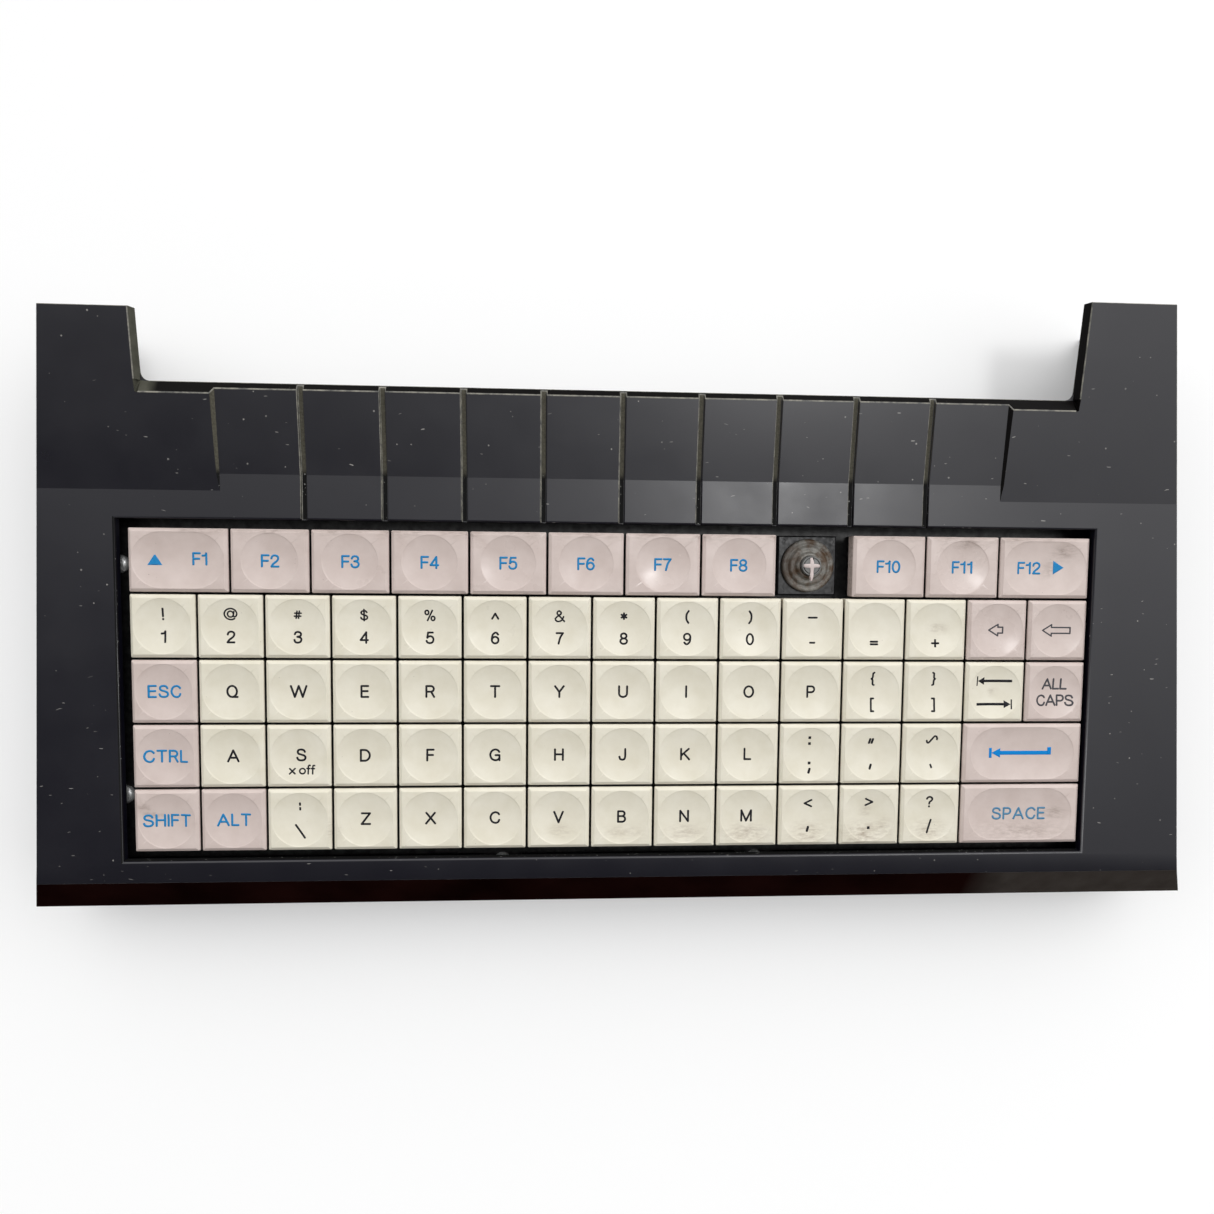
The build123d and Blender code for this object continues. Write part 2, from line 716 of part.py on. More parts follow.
# Low rubber boot under a cap: a skirt on the body that rises to a collar round the stem
boot_diameter = cap_size - 2 * (cap_wall + boot_cap_clearance)
boot_bore = stem_diameter / 2 + boot_stem_clearance
boot_collar = boot_bore + boot_collar_wall
boot_shoulder_z = body_top_z + boot_height - boot_collar_height
with BuildPart() as rubber_boot:
    with BuildSketch(Plane.XZ):
        with BuildLine():
            Polyline(
                (boot_bore, body_top_z + boot_height),
                (boot_collar, body_top_z + boot_height),
                (boot_collar, boot_shoulder_z + boot_skin),
                (boot_diameter / 2 - boot_skin, body_top_z + boot_skin),
                (boot_diameter / 2, body_top_z + boot_skin),
                (boot_diameter / 2, body_top_z),
                (boot_diameter / 2 - 2 * boot_skin, body_top_z),
                (boot_collar - boot_skin / 2, boot_shoulder_z),
                (boot_bore, boot_shoulder_z),
                close=True,
            )
        make_face()
    revolve(axis=Axis.Z)
save(place_all(rubber_boot.part, capped_spots), "rubber_boots")

# Tall folded boot of the bare switch: skirt, folds that step up inwards, and a standing collar
tall_boot_diameter = body_size - 2 * tall_boot_inset
fold_start = tall_boot_diameter / 2 - boot_skin
fold_end = tall_boot_collar_diameter / 2 + boot_skin
fold_pitch = (fold_start - fold_end) / tall_boot_folds
fold_foot_z = body_top_z + boot_skin
outer_skin = []
inner_skin = []
for number in range(tall_boot_folds):
    valley = fold_start - fold_pitch * number
    crest = valley - fold_pitch / 2
    outer_skin += [(valley, fold_foot_z), (crest, fold_foot_z + tall_boot_fold)]
    inner_skin += [(valley - boot_skin, body_top_z), (crest, body_top_z + tall_boot_fold)]
with BuildPart() as f9_boot:
    with BuildSketch(Plane.XZ):
        with BuildLine():
            Polyline(
                (tall_boot_diameter / 2, body_top_z),
                (tall_boot_diameter / 2, fold_foot_z),
                *outer_skin,
                (fold_end, fold_foot_z),
                (tall_boot_collar_diameter / 2, fold_foot_z + tall_boot_fold),
                (tall_boot_collar_diameter / 2, body_top_z + tall_boot_height),
                (boot_bore, body_top_z + tall_boot_height),
                (boot_bore, body_top_z + tall_boot_fold),
                (fold_end, body_top_z),
                *reversed(inner_skin),
                close=True,
            )
        make_face()
    revolve(axis=Axis.Z)
save(place_all(f9_boot.part, bare_spots), "f9_boot")

# Circuit board, with a tongue at its back for the data connector
tongue_end = along_rear_wall - flange_thickness - tongue_gap
pin_hole = math.hypot(pin_width, pin_thickness) / 2 + board_hole_clearance
pin_spots = [(x + side * pin_spacing / 2, y) for x, y in switch_spots for side in (-1, 1)]
with BuildPart() as circuit_board:
    with BuildSketch(Plane.XY.offset(board_foot_z)):
        with Locations((keyboard_x, keyboard_y)):
            Rectangle(2 * board_half_width, 2 * board_half_depth)
        with Locations((connector_x, grid_y(tongue_end))):
            Rectangle(tongue_width, tongue_end, align=(Align.CENTER, Align.MAX))
        with Locations(*pin_spots):
            Circle(pin_hole, mode=Mode.SUBTRACT)
        with Locations(*spacer_spots):
            Circle(board_screw_shank / 2 + screw_hole_clearance, mode=Mode.SUBTRACT)
    extrude(amount=board_thickness)
save(circuit_board.part, "circuit_board")

# Hexagonal spacers between plate and board, each with its screw from below
spacer_across_flats = body_foot_gap - 2 * spacer_clearance
with BuildPart() as board_spacer:
    with BuildSketch(Plane.XY.offset(board_top_z)):
        RegularPolygon(spacer_across_flats / 2, 6, major_radius=False)
        Circle(board_screw_shank / 2 + thread_clearance, mode=Mode.SUBTRACT)
    extrude(amount=plate_foot_z - board_top_z)
with BuildPart() as board_screw:
    with BuildSketch(Plane.XY.offset(board_foot_z)):
        Circle(board_screw_head / 2)
    extrude(amount=-board_screw_head_height)
    with BuildSketch(Plane.XY.offset(board_foot_z)):
        Circle(board_screw_shank / 2)
    extrude(amount=board_screw_length)
    with BuildSketch(Plane.XY.offset(board_foot_z - board_screw_head_height)):
        Rectangle(board_screw_head, driver_slot_width)
    extrude(amount=driver_slot_depth, mode=Mode.SUBTRACT)
spacer_sets = [piece.moved(Location((x, y, 0))) for x, y in spacer_spots
               for piece in (board_spacer.part, board_screw.part)]
save(Compound(children=spacer_sets), "board_spacers")

# Chips under the board: the scanner on the tongue, latches and drivers between two rows of pins
chip_places = [(tongue_x, board_half_depth + scanner_behind_board, scanner_chip)]
chip_places += [(0, share * key_pitch, latch_chip) for share in chip_row_shares]
chip_places += [(driver_chip_x, share * key_pitch, driver_chip) for share in chip_row_shares]
with BuildPart() as controller_chips:
    for chip_x, along, chip in chip_places:
        with BuildSketch(Plane.XY.offset(board_foot_z)):
            with Locations((keyboard_x + chip_x, grid_y(along))):
                Rectangle(chip["width"], chip["depth"])
        body = extrude(amount=-chip["height"])
        chamfer(body.faces().sort_by(Axis.Z)[0].edges(), chip_chamfer)
save(controller_chips.part, "controller_chips")


# Data connector: metal shell and flange, socket block, contacts and two jackscrews
def shell_face(plane, skin):
    """The slanted outline of the connector's shell, drawn in by a skin."""
    half_top = shell_width / 2 - skin
    half_foot = shell_width / 2 - shell_slant - skin
    half_height = shell_height / 2 - skin
    with BuildSketch(plane) as face:
        with BuildLine():
            Polyline(
                (connector_x - half_foot, connector_z - half_height),
                (connector_x + half_foot, connector_z - half_height),
                (connector_x + half_top, connector_z + half_height),
                (connector_x - half_top, connector_z + half_height),
                close=True,
            )
        make_face()
    return face.sketch


flange_back_y = grid_y(along_rear_wall) - flange_thickness
shell_length = flange_thickness + rear_wall + shell_reach
jackscrew_spots = [(connector_x + side * jackscrew_spacing / 2, connector_z) for side in (-1, 1)]
with BuildPart() as connector_shell:
    with BuildSketch(Plane.XZ.offset(-flange_back_y)):
        with Locations((connector_x, connector_z)):
            Rectangle(flange_width, flange_height)
        with Locations(*jackscrew_spots):
            Circle(jackscrew_shank / 2 + screw_hole_clearance, mode=Mode.SUBTRACT)
    extrude(amount=-flange_thickness)
    extrude(shell_face(Plane.XZ.offset(-flange_back_y), 0), amount=-shell_length)
    extrude(shell_face(Plane.XZ.offset(-flange_back_y), shell_skin), amount=-shell_length, mode=Mode.SUBTRACT)
with BuildPart() as socket_block:
    with BuildSketch(Plane.XY.offset(board_top_z)):
        with Locations((connector_x, flange_back_y)):
            Rectangle(socket_block_width, socket_block_depth, align=(Align.CENTER, Align.MAX))
    extrude(amount=connector_rise + shell_height / 2)
    for row, count in enumerate(contact_counts):
        row_z = connector_z + contact_row_pitch * (1 / 2 - row)
        with BuildSketch(Plane.XZ.offset(-flange_back_y)):
            with Locations((connector_x, row_z)):
                with GridLocations(contact_pitch, 0, count, 1):
                    Circle(contact_diameter / 2)
        extrude(amount=-(rear_wall + contact_reach))
with BuildPart() as jackscrews:
    with BuildSketch(Plane.XZ.offset(-grid_y(along_bay_edge))):
        with Locations(*jackscrew_spots):
            RegularPolygon(jackscrew_across_flats / 2, 6, major_radius=False)
    extrude(amount=-jackscrew_reach)
    with BuildSketch(Plane.XZ.offset(-grid_y(along_bay_edge))):
        with Locations(*jackscrew_spots):
            Circle(jackscrew_shank / 2)
    extrude(amount=rear_wall + 2 * flange_thickness)
save(Compound(children=[connector_shell.part, socket_block.part, jackscrews.part]), "data_connector")


# Keys: a cap with its cross, and the stem that it plugs into
def cross_sketch(plane, clearance):
    """The cross of a stem's slot, drawn in by a clearance."""
    with BuildSketch(plane) as cross:
        Rectangle(slot_length - 2 * clearance, slot_width - 2 * clearance)
        Rectangle(slot_width - 2 * clearance, slot_length - 2 * clearance)
    return cross.sketch


def make_cap(units, dish_end):
    """One cap: bevelled rim, dished top, hollow inside, and the cross under its roof."""
    width = units * key_pitch - key_gap
    dish_width = cap_size - 2 * (cap_bevel_width + dish_margin)
    dish_length = dish_width if units <= function_key_units else width - dish_end
    dish_half = (dish_length - dish_width) / 2
    dish_radius = (dish_width ** 2 / 4 + dish_depth ** 2) / (2 * dish_depth)
    dish_centre_z = cap_edge_z + cap_bevel_height - dish_depth + dish_radius
    with BuildPart() as dish:
        with Locations((-dish_half, 0, dish_centre_z), (dish_half, 0, dish_centre_z)):
            Sphere(dish_radius)
        if dish_half > 0:
            with BuildSketch(Plane.YZ.offset(-dish_half)):
                with Locations((0, dish_centre_z)):
                    Circle(dish_radius)
            extrude(amount=2 * dish_half)
    with BuildPart() as cap:
        with BuildSketch(Plane.XY.offset(cap_edge_z - cap_skirt)):
            Rectangle(width, cap_size)
        extrude(amount=cap_skirt + cap_bevel_height)
        top_face = cap.faces().sort_by(Axis.Z)[-1]
        chamfer(top_face.edges(), cap_bevel_width, cap_bevel_height, reference=top_face)
        add(dish.part, mode=Mode.SUBTRACT)
        with BuildSketch(Plane.XY.offset(cap_edge_z - cap_skirt)):
            Rectangle(width - 2 * cap_wall, cap_size - 2 * cap_wall)
        extrude(amount=cap_skirt - cap_roof_drop, mode=Mode.SUBTRACT)
        with BuildSketch(Plane.XY.offset(stem_top_z)):
            Circle(cross_neck_diameter / 2)
        extrude(amount=cap_roof_z - stem_top_z)
        cross_foot_z = stem_top_z - slot_depth + cross_foot_clearance
        extrude(cross_sketch(Plane.XY.offset(cross_foot_z), cross_clearance), amount=cap_roof_z - cross_foot_z)
    return cap.part


with BuildPart() as stem:
    with BuildSketch(Plane.XY.offset(stem_foot_z)):
        Circle(stem_diameter / 2)
    extrude(amount=stem_length)
    extrude(cross_sketch(Plane.XY.offset(stem_top_z), 0), amount=-slot_depth, mode=Mode.SUBTRACT)
    with BuildSketch(Plane.XY.offset(stem_foot_z)):
        Circle(spring_pocket_diameter / 2)
    extrude(amount=spring_pocket_depth, mode=Mode.SUBTRACT)

# What is left of the missing cap: the broken cross in the bare stem
with BuildPart() as stub:
    stub_foot_z = stem_top_z - slot_depth + cross_foot_clearance
    extrude(cross_sketch(Plane.XY.offset(stub_foot_z), cross_clearance), amount=stub_height)

caps = {
    1: make_cap(1, None),
    function_key_units: make_cap(function_key_units, None),
    end_key_units: make_cap(end_key_units, end_dish_margin),
    double_key_units: make_cap(double_key_units, double_dish_margin),
}
key_pieces = {}
for node, units, key_x, key_y in key_places:
    crown = stub.part if node == "f9_stem" else caps[units]
    for piece in (crown, stem.part):
        key_pieces.setdefault(node, []).append(piece.moved(Location((key_x, key_y, 0))))
for node, pieces in key_pieces.items():
    save(Compound(children=pieces), node)
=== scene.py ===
import math

import bmesh
import bpy
from mathutils import Euler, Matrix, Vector


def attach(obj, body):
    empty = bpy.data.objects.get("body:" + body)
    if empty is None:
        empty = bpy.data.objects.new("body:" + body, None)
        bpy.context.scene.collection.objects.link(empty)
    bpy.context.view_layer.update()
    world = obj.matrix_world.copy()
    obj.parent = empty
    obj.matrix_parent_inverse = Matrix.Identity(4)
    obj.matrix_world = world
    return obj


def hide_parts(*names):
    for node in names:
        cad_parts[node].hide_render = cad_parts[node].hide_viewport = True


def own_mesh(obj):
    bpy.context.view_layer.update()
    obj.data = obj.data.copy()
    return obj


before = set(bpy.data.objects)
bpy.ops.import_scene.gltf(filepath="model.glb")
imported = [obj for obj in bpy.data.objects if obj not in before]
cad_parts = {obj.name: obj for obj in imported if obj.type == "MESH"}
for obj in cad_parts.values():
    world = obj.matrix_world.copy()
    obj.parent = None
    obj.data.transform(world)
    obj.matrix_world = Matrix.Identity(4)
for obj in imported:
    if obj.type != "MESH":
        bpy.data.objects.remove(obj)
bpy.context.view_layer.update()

# Operator panel seen from above. Sizes here are in millimetres and become metres in the meshes.
MM = 0.001

# Points closer together than this become one
same_point = 0.0005

# Camera
picture_side = 1214
focal_pixels = 857
film_width = 36.0
camera_place = (-23.994, 17.300, 286.182)
camera_turn = (-3.757, -3.436, 0.595)

# Keyboard grid
key_pitch = 19.05
key_gap = 0.55
keyboard_x = -3.5
keyboard_y = -24.6
key_rows = 5
key_columns = 15

# Keycap outside, dish and inside
cap_size = key_pitch - key_gap
cap_foot_z = 28.5
cap_edge_z = 32.7
cap_rim_z = 33.3
cap_bevel_width = 0.95
cap_corner = 0.45
cap_wall = 1.0
cap_roof_z = 31.1
dish_radius = 8.15
dish_depth = 0.95
dish_step = 0.10
dish_step_share = 0.972
end_dish_margin = 2.025
double_dish_margin = 4.55
stem_radius = 3.0
stem_foot_z = 20.2
spring_pocket_radius = 2.5
spring_pocket_depth = 2.5
stem_foot = ((spring_pocket_radius, stem_foot_z + spring_pocket_depth), (spring_pocket_radius, stem_foot_z),
             (stem_radius - 0.3, stem_foot_z), (stem_radius, stem_foot_z + 0.3))

# Bare switch
bare_x = 53.65
bare_y = 13.5


# Small helpers for places and curves
def arc(x, y, rx, ry, start, end, steps=12):
    """Points along a part of an ellipse, angles in degrees."""
    points = []
    for step in range(steps + 1):
        angle = math.radians(start + (end - start) * step / steps)
        points.append((x + rx * math.cos(angle), y + ry * math.sin(angle)))
    return points


def smooth(*knots, steps=6):
    """Points along a soft curve through all knots."""
    ends = [knots[0]] + list(knots) + [knots[-1]]
    points = []
    for a, b, c, d in zip(ends, ends[1:], ends[2:], ends[3:]):
        for step in range(steps):
            t = step / steps
            points.append(tuple(
                0.5 * (2 * q + (r - p) * t + (2 * p - 5 * q + 4 * r - s) * t * t
                       + (3 * q - p - 3 * r + s) * t ** 3)
                for p, q, r, s in zip(a, b, c, d)))
    return points + [knots[-1]]


def placed(name, data):
    """A new object at the scene's origin."""
    made = bpy.data.objects.new(name, data)
    bpy.context.scene.collection.objects.link(made)
    return made


def baked(made):
    """The mesh of an object with all its modifiers worked in."""
    bpy.context.view_layer.update()
    ready = made.evaluated_get(bpy.context.evaluated_depsgraph_get())
    return bpy.data.meshes.new_from_object(ready)


def cut_away(made, cutter, finish):
    """Takes a shape out of a finished object."""
    tool = cutter.piece("cutter", [finish])
    cut = made.modifiers.new("cut", "BOOLEAN")
    cut.operation = "DIFFERENCE"
    cut.object = tool
    cut.solver = "EXACT"
    mesh = baked(made)
    made.modifiers.clear()
    made.data = mesh
    bpy.data.objects.remove(tool)


def add_node(tree, kind, inputs, settings):
    """A shader node with its settings made and its inputs linked or set."""
    made = tree.nodes.new(kind)
    for name, value in settings.items():
        setattr(made, name, value)
    for name, value in dict(inputs).items():
        if isinstance(value, bpy.types.NodeSocket):
            tree.links.new(value, made.inputs[name])
        else:
            made.inputs[name].default_value = value
    return made


class Shape:
    """Points in millimetres and faces of one mesh."""

    def __init__(self):
        self.points = []
        self.faces = []
        self.finishes = []

    def add(self, points, faces, finish=0):
        start = len(self.points)
        self.points += [tuple(p) for p in points]
        self.faces += [tuple(start + i for i in face) for face in faces]
        self.finishes += [finish] * len(faces)

    def loft(self, rings, finish=0, close_first=True, close_last=True, closed_loop=False):
        """Bands between rings of equal length; rings run anticlockwise seen along the loft."""
        count = len(rings[0])
        points = [p for ring in rings for p in ring]
        faces = []
        for k in range(len(rings) - 1):
            for i in range(count):
                j = (i + 1) % count
                faces.append((k * count + i, k * count + j, (k + 1) * count + j, (k + 1) * count + i))
        if closed_loop:
            k = len(rings) - 1
            for i in range(count):
                j = (i + 1) % count
                faces.append((k * count + i, k * count + j, j, i))
        else:
            if close_first:
                faces.append(tuple(reversed(range(count))))
            if close_last:
                faces.append(tuple((len(rings) - 1) * count + i for i in range(count)))
        self.add(points, faces, finish)

    def lathe(self, x, y, profile, sides, finish=0, closed_loop=False):
        """A turned shape from (radius, z) pairs."""
        rings = []
        for radius, z in profile:
            rings.append([(x + radius * math.cos(2 * math.pi * i / sides),
                           y + radius * math.sin(2 * math.pi * i / sides), z) for i in range(sides)])
        self.loft(rings, finish, closed_loop=closed_loop)

    def piece(self, name, finishes, dirt_and_shade_of=None, polish_of=None):
        """The finished object at the origin, in metres."""
        mesh = bpy.data.meshes.new(name)
        mesh.from_pydata([(x * MM, y * MM, z * MM) for x, y, z in self.points], [], self.faces)
        for finish in finishes:
            mesh.materials.append(finish)
        mesh.polygons.foreach_set("material_index", self.finishes)
        mesh.polygons.foreach_set("use_smooth", [True] * len(self.faces))
        for label, value_of in (("soil", dirt_and_shade_of), ("polish", polish_of)):
            if value_of:
                layer = mesh.attributes.new(label, "FLOAT", "POINT")
                layer.data.foreach_set("value", [value_of(*p) for p in self.points])
        mesh.update()
        shell = bmesh.new()
        shell.from_mesh(mesh)
        bmesh.ops.remove_doubles(shell, verts=shell.verts, dist=same_point * MM)
        bmesh.ops.recalc_face_normals(shell, faces=shell.faces)
        shell.to_mesh(mesh)
        shell.free()
        return placed(name, mesh)


def even_shading(made, angle):
    """Flat faces stay flat and edges up to an angle stay soft."""
    made.data.set_sharp_from_angle(angle=math.radians(angle))
    modifier = made.modifiers.new("even shading", "WEIGHTED_NORMAL")
    modifier.keep_sharp = True
    modifier.weight = 80


# Finishes
class Finish:
    """One material, with short calls for the nodes that it uses."""

    def __init__(self, name, colour, roughness, metallic=0.0, specular=0.5):
        self.material = bpy.data.materials.new(name)
        self.material.use_nodes = True
        self.tree = self.material.node_tree
        self.shader = self.tree.nodes["Principled BSDF"]
        self.shader.inputs["Base Color"].default_value = (*colour, 1)
        self.shader.inputs["Roughness"].default_value = roughness
        self.shader.inputs["Metallic"].default_value = metallic
        self.shader.inputs["Specular IOR Level"].default_value = specular
        self.place = self.tree.nodes.new("ShaderNodeTexCoord").outputs["Object"]

    def node(self, kind, inputs=(), **settings):
        return add_node(self.tree, kind, inputs, settings)

    def along(self, axis):
        """How far along one axis a place lies, in metres."""
        return self.node("ShaderNodeSeparateXYZ", {"Vector": self.place}).outputs[axis]

    def moved(self, scale=(1, 1, 1), turn=0.0, source=None):
        return self.node("ShaderNodeMapping", {
            "Vector": source or self.place, "Scale": scale,
            "Rotation": (0, 0, math.radians(turn))}).outputs["Vector"]

    def noise(self, size_mm, detail=3.0, roughness=0.5, source=None):
        """Cloudy pattern whose patches are about that many millimetres across."""
        return self.node("ShaderNodeTexNoise", {
            "Vector": source or self.place, "Scale": 1 / (size_mm * MM),
            "Detail": detail, "Roughness": roughness}).outputs["Fac"]

    def sum(self, operation, a, b=0.0, c=0.0):
        made = self.tree.nodes.new("ShaderNodeMath")
        made.operation = operation
        for socket, value in zip(made.inputs, (a, b, c)):
            if isinstance(value, bpy.types.NodeSocket):
                self.tree.links.new(value, socket)
            else:
                socket.default_value = value
        return made.outputs[0]

    def range(self, value, low, high, new_low=0.0, new_high=1.0):
        return self.node("ShaderNodeMapRange", {
            "Value": value, "From Min": low, "From Max": high,
            "To Min": new_low, "To Max": new_high}).outputs["Result"]

    def blend(self, share, a, b):
        """Colour a where the share is 0 and b where it is 1."""
        made = self.tree.nodes.new("ShaderNodeMix")
        made.data_type = "RGBA"
        for socket, value in zip((made.inputs[0], made.inputs[6], made.inputs[7]), (share, a, b)):
            if isinstance(value, bpy.types.NodeSocket):
                self.tree.links.new(value, socket)
            elif isinstance(value, tuple):
                socket.default_value = (*value, 1)
            else:
                socket.default_value = value
        return made.outputs[2]

    def specks(self, cell_mm, radius_mm, share=0.7, stretch=(1, 1, 1), turn=0.0, source=None):
        """1 inside dots or short lines in that share of the cells, 0 elsewhere."""
        place = self.moved(scale=stretch, turn=turn, source=source)
        dots = self.node("ShaderNodeTexVoronoi", {"Vector": place, "Scale": 1 / (cell_mm * MM)})
        picked = self.node("ShaderNodeSeparateColor", {"Color": dots.outputs["Color"]})
        size = self.range(picked.outputs["Red"], 1 - share, 1.0, 0.0, radius_mm / cell_mm)
        return self.sum("LESS_THAN", dots.outputs["Distance"], size)

    def wavy(self, size_mm, reach_mm):
        """Places bent softly, so that straight marks on them become curved ones."""
        cloud = self.node("ShaderNodeTexNoise", {"Vector": self.place, "Scale": 1 / (size_mm * MM)})
        shift = self.node("ShaderNodeVectorMath", {0: cloud.outputs["Color"], 1: (0.5, 0.5, 0.5)},
                          operation="SUBTRACT").outputs["Vector"]
        shift = self.node("ShaderNodeVectorMath", {0: shift, "Scale": reach_mm * MM},
                          operation="SCALE").outputs["Vector"]
        return self.node("ShaderNodeVectorMath", {0: self.place, 1: shift}, operation="ADD").outputs["Vector"]

    def colour(self, value):
        self.tree.links.new(value, self.shader.inputs["Base Color"])

    def gloss(self, value):
        self.tree.links.new(value, self.shader.inputs["Roughness"])

    def bump(self, height, depth_mm, strength=1.0):
        made = self.node("ShaderNodeBump", {"Height": height, "Distance": depth_mm * MM,
                                            "Strength": strength})
        self.tree.links.new(made.outputs["Normal"], self.shader.inputs["Normal"])


def housing_finish():
    """Charcoal satin moulding with handling marks, dust specks and hair scratches."""
    made = Finish("charcoal housing", (0.004, 0.004, 0.005), 0.33, specular=0.62)
    tone = made.blend(made.noise(38, 4), (0.0022, 0.0018, 0.0060), (0.0060, 0.0058, 0.0105))
    bent = made.wavy(9, 5)
    dust = made.sum("MAXIMUM", made.specks(3.6, 0.30, 0.7), made.specks(7, 0.27, 0.6))
    for turn in (25, 120):
        dust = made.sum("MAXIMUM", dust, made.specks(9, 0.75, 0.5, stretch=(1, 5, 2), turn=turn, source=bent))
    marks = made.specks(30, 1.1, 0.35, stretch=(1, 9, 2), turn=20, source=bent)
    for turn, share in ((-35, 0.30), (70, 0.35), (100, 0.25)):
        lines = made.specks(26, 0.9, share, stretch=(1, 9, 2), turn=turn, source=bent)
        marks = made.sum("MAXIMUM", marks, lines)
    marks = made.sum("MULTIPLY", marks, made.range(made.noise(1.0, 3), 0.35, 0.65, 0.0, 0.8))
    dust = made.sum("MULTIPLY", dust, made.range(made.noise(5.0, 2), 0.35, 0.65, 0.3, 1.0))
    made.colour(made.blend(made.sum("MAXIMUM", dust, marks), tone, (0.27, 0.26, 0.245)))
    made.gloss(made.range(made.noise(16, 5), 0.25, 0.75, 0.27, 0.38))
    made.bump(made.noise(0.35, 2), 0.02, 0.35)
    return made.material


def edge_finish():
    """Rounded edges of the moulding, rubbed paler here and there; the pale also serves as a painted edge
    highlight.
    """
    made = Finish("rubbed and highlit edge", (0.02, 0.02, 0.02), 0.4)
    rub_and_highlight = made.range(made.noise(2.6, 5, 0.7), 0.36, 0.62)
    # Pale olive patches: partly rubbed wear, partly a painted edge highlight.
    made.colour(made.blend(rub_and_highlight, (0.045, 0.045, 0.042), (0.24, 0.228, 0.19)))
    made.gloss(made.range(rub_and_highlight, 0, 1, 0.34, 0.6))
    return made.material


def groove_finish():
    """Grooves and left slope of the panels: dust along the panels, dark with pale crumbs elsewhere."""
    made = Finish("groove dust", (0.05, 0.047, 0.038), 0.8, specular=0.2)
    dust = made.range(made.noise(0.6, 5, 0.7), 0.3, 0.7)
    olive = made.blend(dust, (0.045, 0.042, 0.030), (0.105, 0.098, 0.075))
    crumbs = made.sum("MAXIMUM", made.specks(1.2, 0.26, 0.4), made.specks(0.7, 0.16, 0.25))
    dark = made.blend(crumbs, (0.004, 0.004, 0.004), (0.20, 0.20, 0.19))
    along = made.along("Y")
    across = made.along("X")
    up_slope = made.range(along, (groove_dust_y - 1.0) * MM, (groove_dust_y + 1.0) * MM)
    inside = made.range(across, (recess_left - 1.2) * MM, (recess_left - 0.8) * MM)
    up_slope = made.sum("MULTIPLY", up_slope, inside)
    made.colour(made.blend(up_slope, dark, olive))
    made.bump(made.noise(0.25, 4), 0.05, 0.6)
    return made.material


def rim_finish():
    """Steep faces round the display bay and at the panels' right end: black, with painted light at the bay's
    left end, where the side faces the light.
    """
    made = Finish("bay rim", (0.004, 0.004, 0.004), 0.4, specular=0.05)
    across = made.along("X")
    # Painted light: left of x = -135 mm, at the bay's left side that faces the light, the faces are painted a
    # patchy paler olive; the mask named dust holds this painted light.
    left = made.range(across, -138 * MM, -135 * MM, 1.0, 0.0)
    dust = made.sum("MULTIPLY", left, made.range(made.noise(3.0, 4), 0.25, 0.75, 0.55, 1.0))
    flecks = made.sum("MULTIPLY", made.specks(2.4, 0.16, 0.5), 0.5)
    dark = made.blend(flecks, (0.0035, 0.003, 0.003), (0.16, 0.15, 0.13))
    made.colour(made.blend(dust, dark, (0.085, 0.084, 0.066)))
    made.bump(made.noise(0.35, 2), 0.02, 0.35)
    return made.material


def lip_finish():
    """Front lip, rubbed to a deep brownish black by the hands that rested on it, with a painted reflection
    that makes its right end paler.
    """
    made = Finish("front lip", (0.006, 0.002, 0.0015), 0.22, specular=0.0)
    across = made.along("X")
    # Painted reflection: from x = 105 mm to the right end the lip is painted paler, with some noise.
    painted_reflection = made.sum("MULTIPLY", made.range(across, 105 * MM, 118 * MM),
                     made.range(made.noise(6, 4), 0.2, 0.8, 0.6, 1.0))
    dark = made.blend(made.range(made.noise(22, 4), 0.3, 0.7), (0.0035, 0.0009, 0.0008),
                      (0.011, 0.0032, 0.0026))
    made.colour(made.blend(painted_reflection, dark, (0.052, 0.045, 0.040)))
    made.gloss(made.range(made.noise(12, 4), 0.3, 0.7, 0.17, 0.28))
    return made.material


def cap_finish(name, light, deep, stain):
    """Satin double-shot plastic, a little yellowed, with specks, rubbed-in dirt, and painted shade on the
    skirts in the gaps.
    """
    made = Finish(name, light, 0.38)
    mottle = made.range(made.noise(7, 5, 0.6), 0.3, 0.7)
    tone = made.blend(mottle, light, deep)
    # This attribute holds dirt on the caps' tops and painted shade on their skirts.
    soil = made.node("ShaderNodeAttribute", attribute_name="soil").outputs["Fac"]
    drawn_out = made.moved(scale=(1, 3.2, 1))
    grain = made.range(made.noise(2.6, 6, 0.72, source=drawn_out), 0.40, 0.70, 0.10, 0.62)
    # Stain share: rubbed-in dirt on the tops, and a brownish painted shade on the skirts.
    stain_and_shade = made.sum("MULTIPLY", soil, grain)
    tone = made.blend(stain_and_shade, tone, stain)
    # Painted shade: values over 1.6 come only from the skirts down in the gaps, which are painted nearly
    # black.
    tone = made.blend(made.range(soil, 1.6, 3.4), tone, (0.006, 0.005, 0.004))
    dots = made.specks(2.6, 0.11)
    tone = made.blend(made.sum("MULTIPLY", dots, 0.6), tone, tuple(0.35 * c for c in stain))
    made.colour(tone)
    polish = made.node("ShaderNodeAttribute", attribute_name="polish").outputs["Fac"]
    made.gloss(made.sum("SUBTRACT", made.range(made.noise(5, 4), 0.3, 0.7, 0.38, 0.48),
                        made.sum("MULTIPLY", polish, 0.20)))
    made.bump(made.noise(0.22, 2), 0.012, 0.3)
    return made.material


def print_finish(name, colour, worn):
    """Legend colour, slightly uneven."""
    made = Finish(name, colour, 0.5, specular=0.12)
    made.colour(made.blend(made.range(made.noise(0.6, 4, 0.7), 0.35, 0.85), colour, worn))
    return made.material


def switch_finish():
    """Black moulding with faint pale smears."""
    made = Finish("black switch", (0.006, 0.006, 0.007), 0.4)
    smear = made.range(made.noise(1.8, 5, 0.7), 0.5, 0.8, 0.0, 0.6)
    made.colour(made.blend(smear, (0.005, 0.005, 0.006), (0.045, 0.045, 0.055)))
    made.gloss(made.range(made.noise(1.2, 3), 0.3, 0.7, 0.3, 0.55))
    made.bump(made.noise(0.4, 3), 0.02, 0.4)
    return made.material


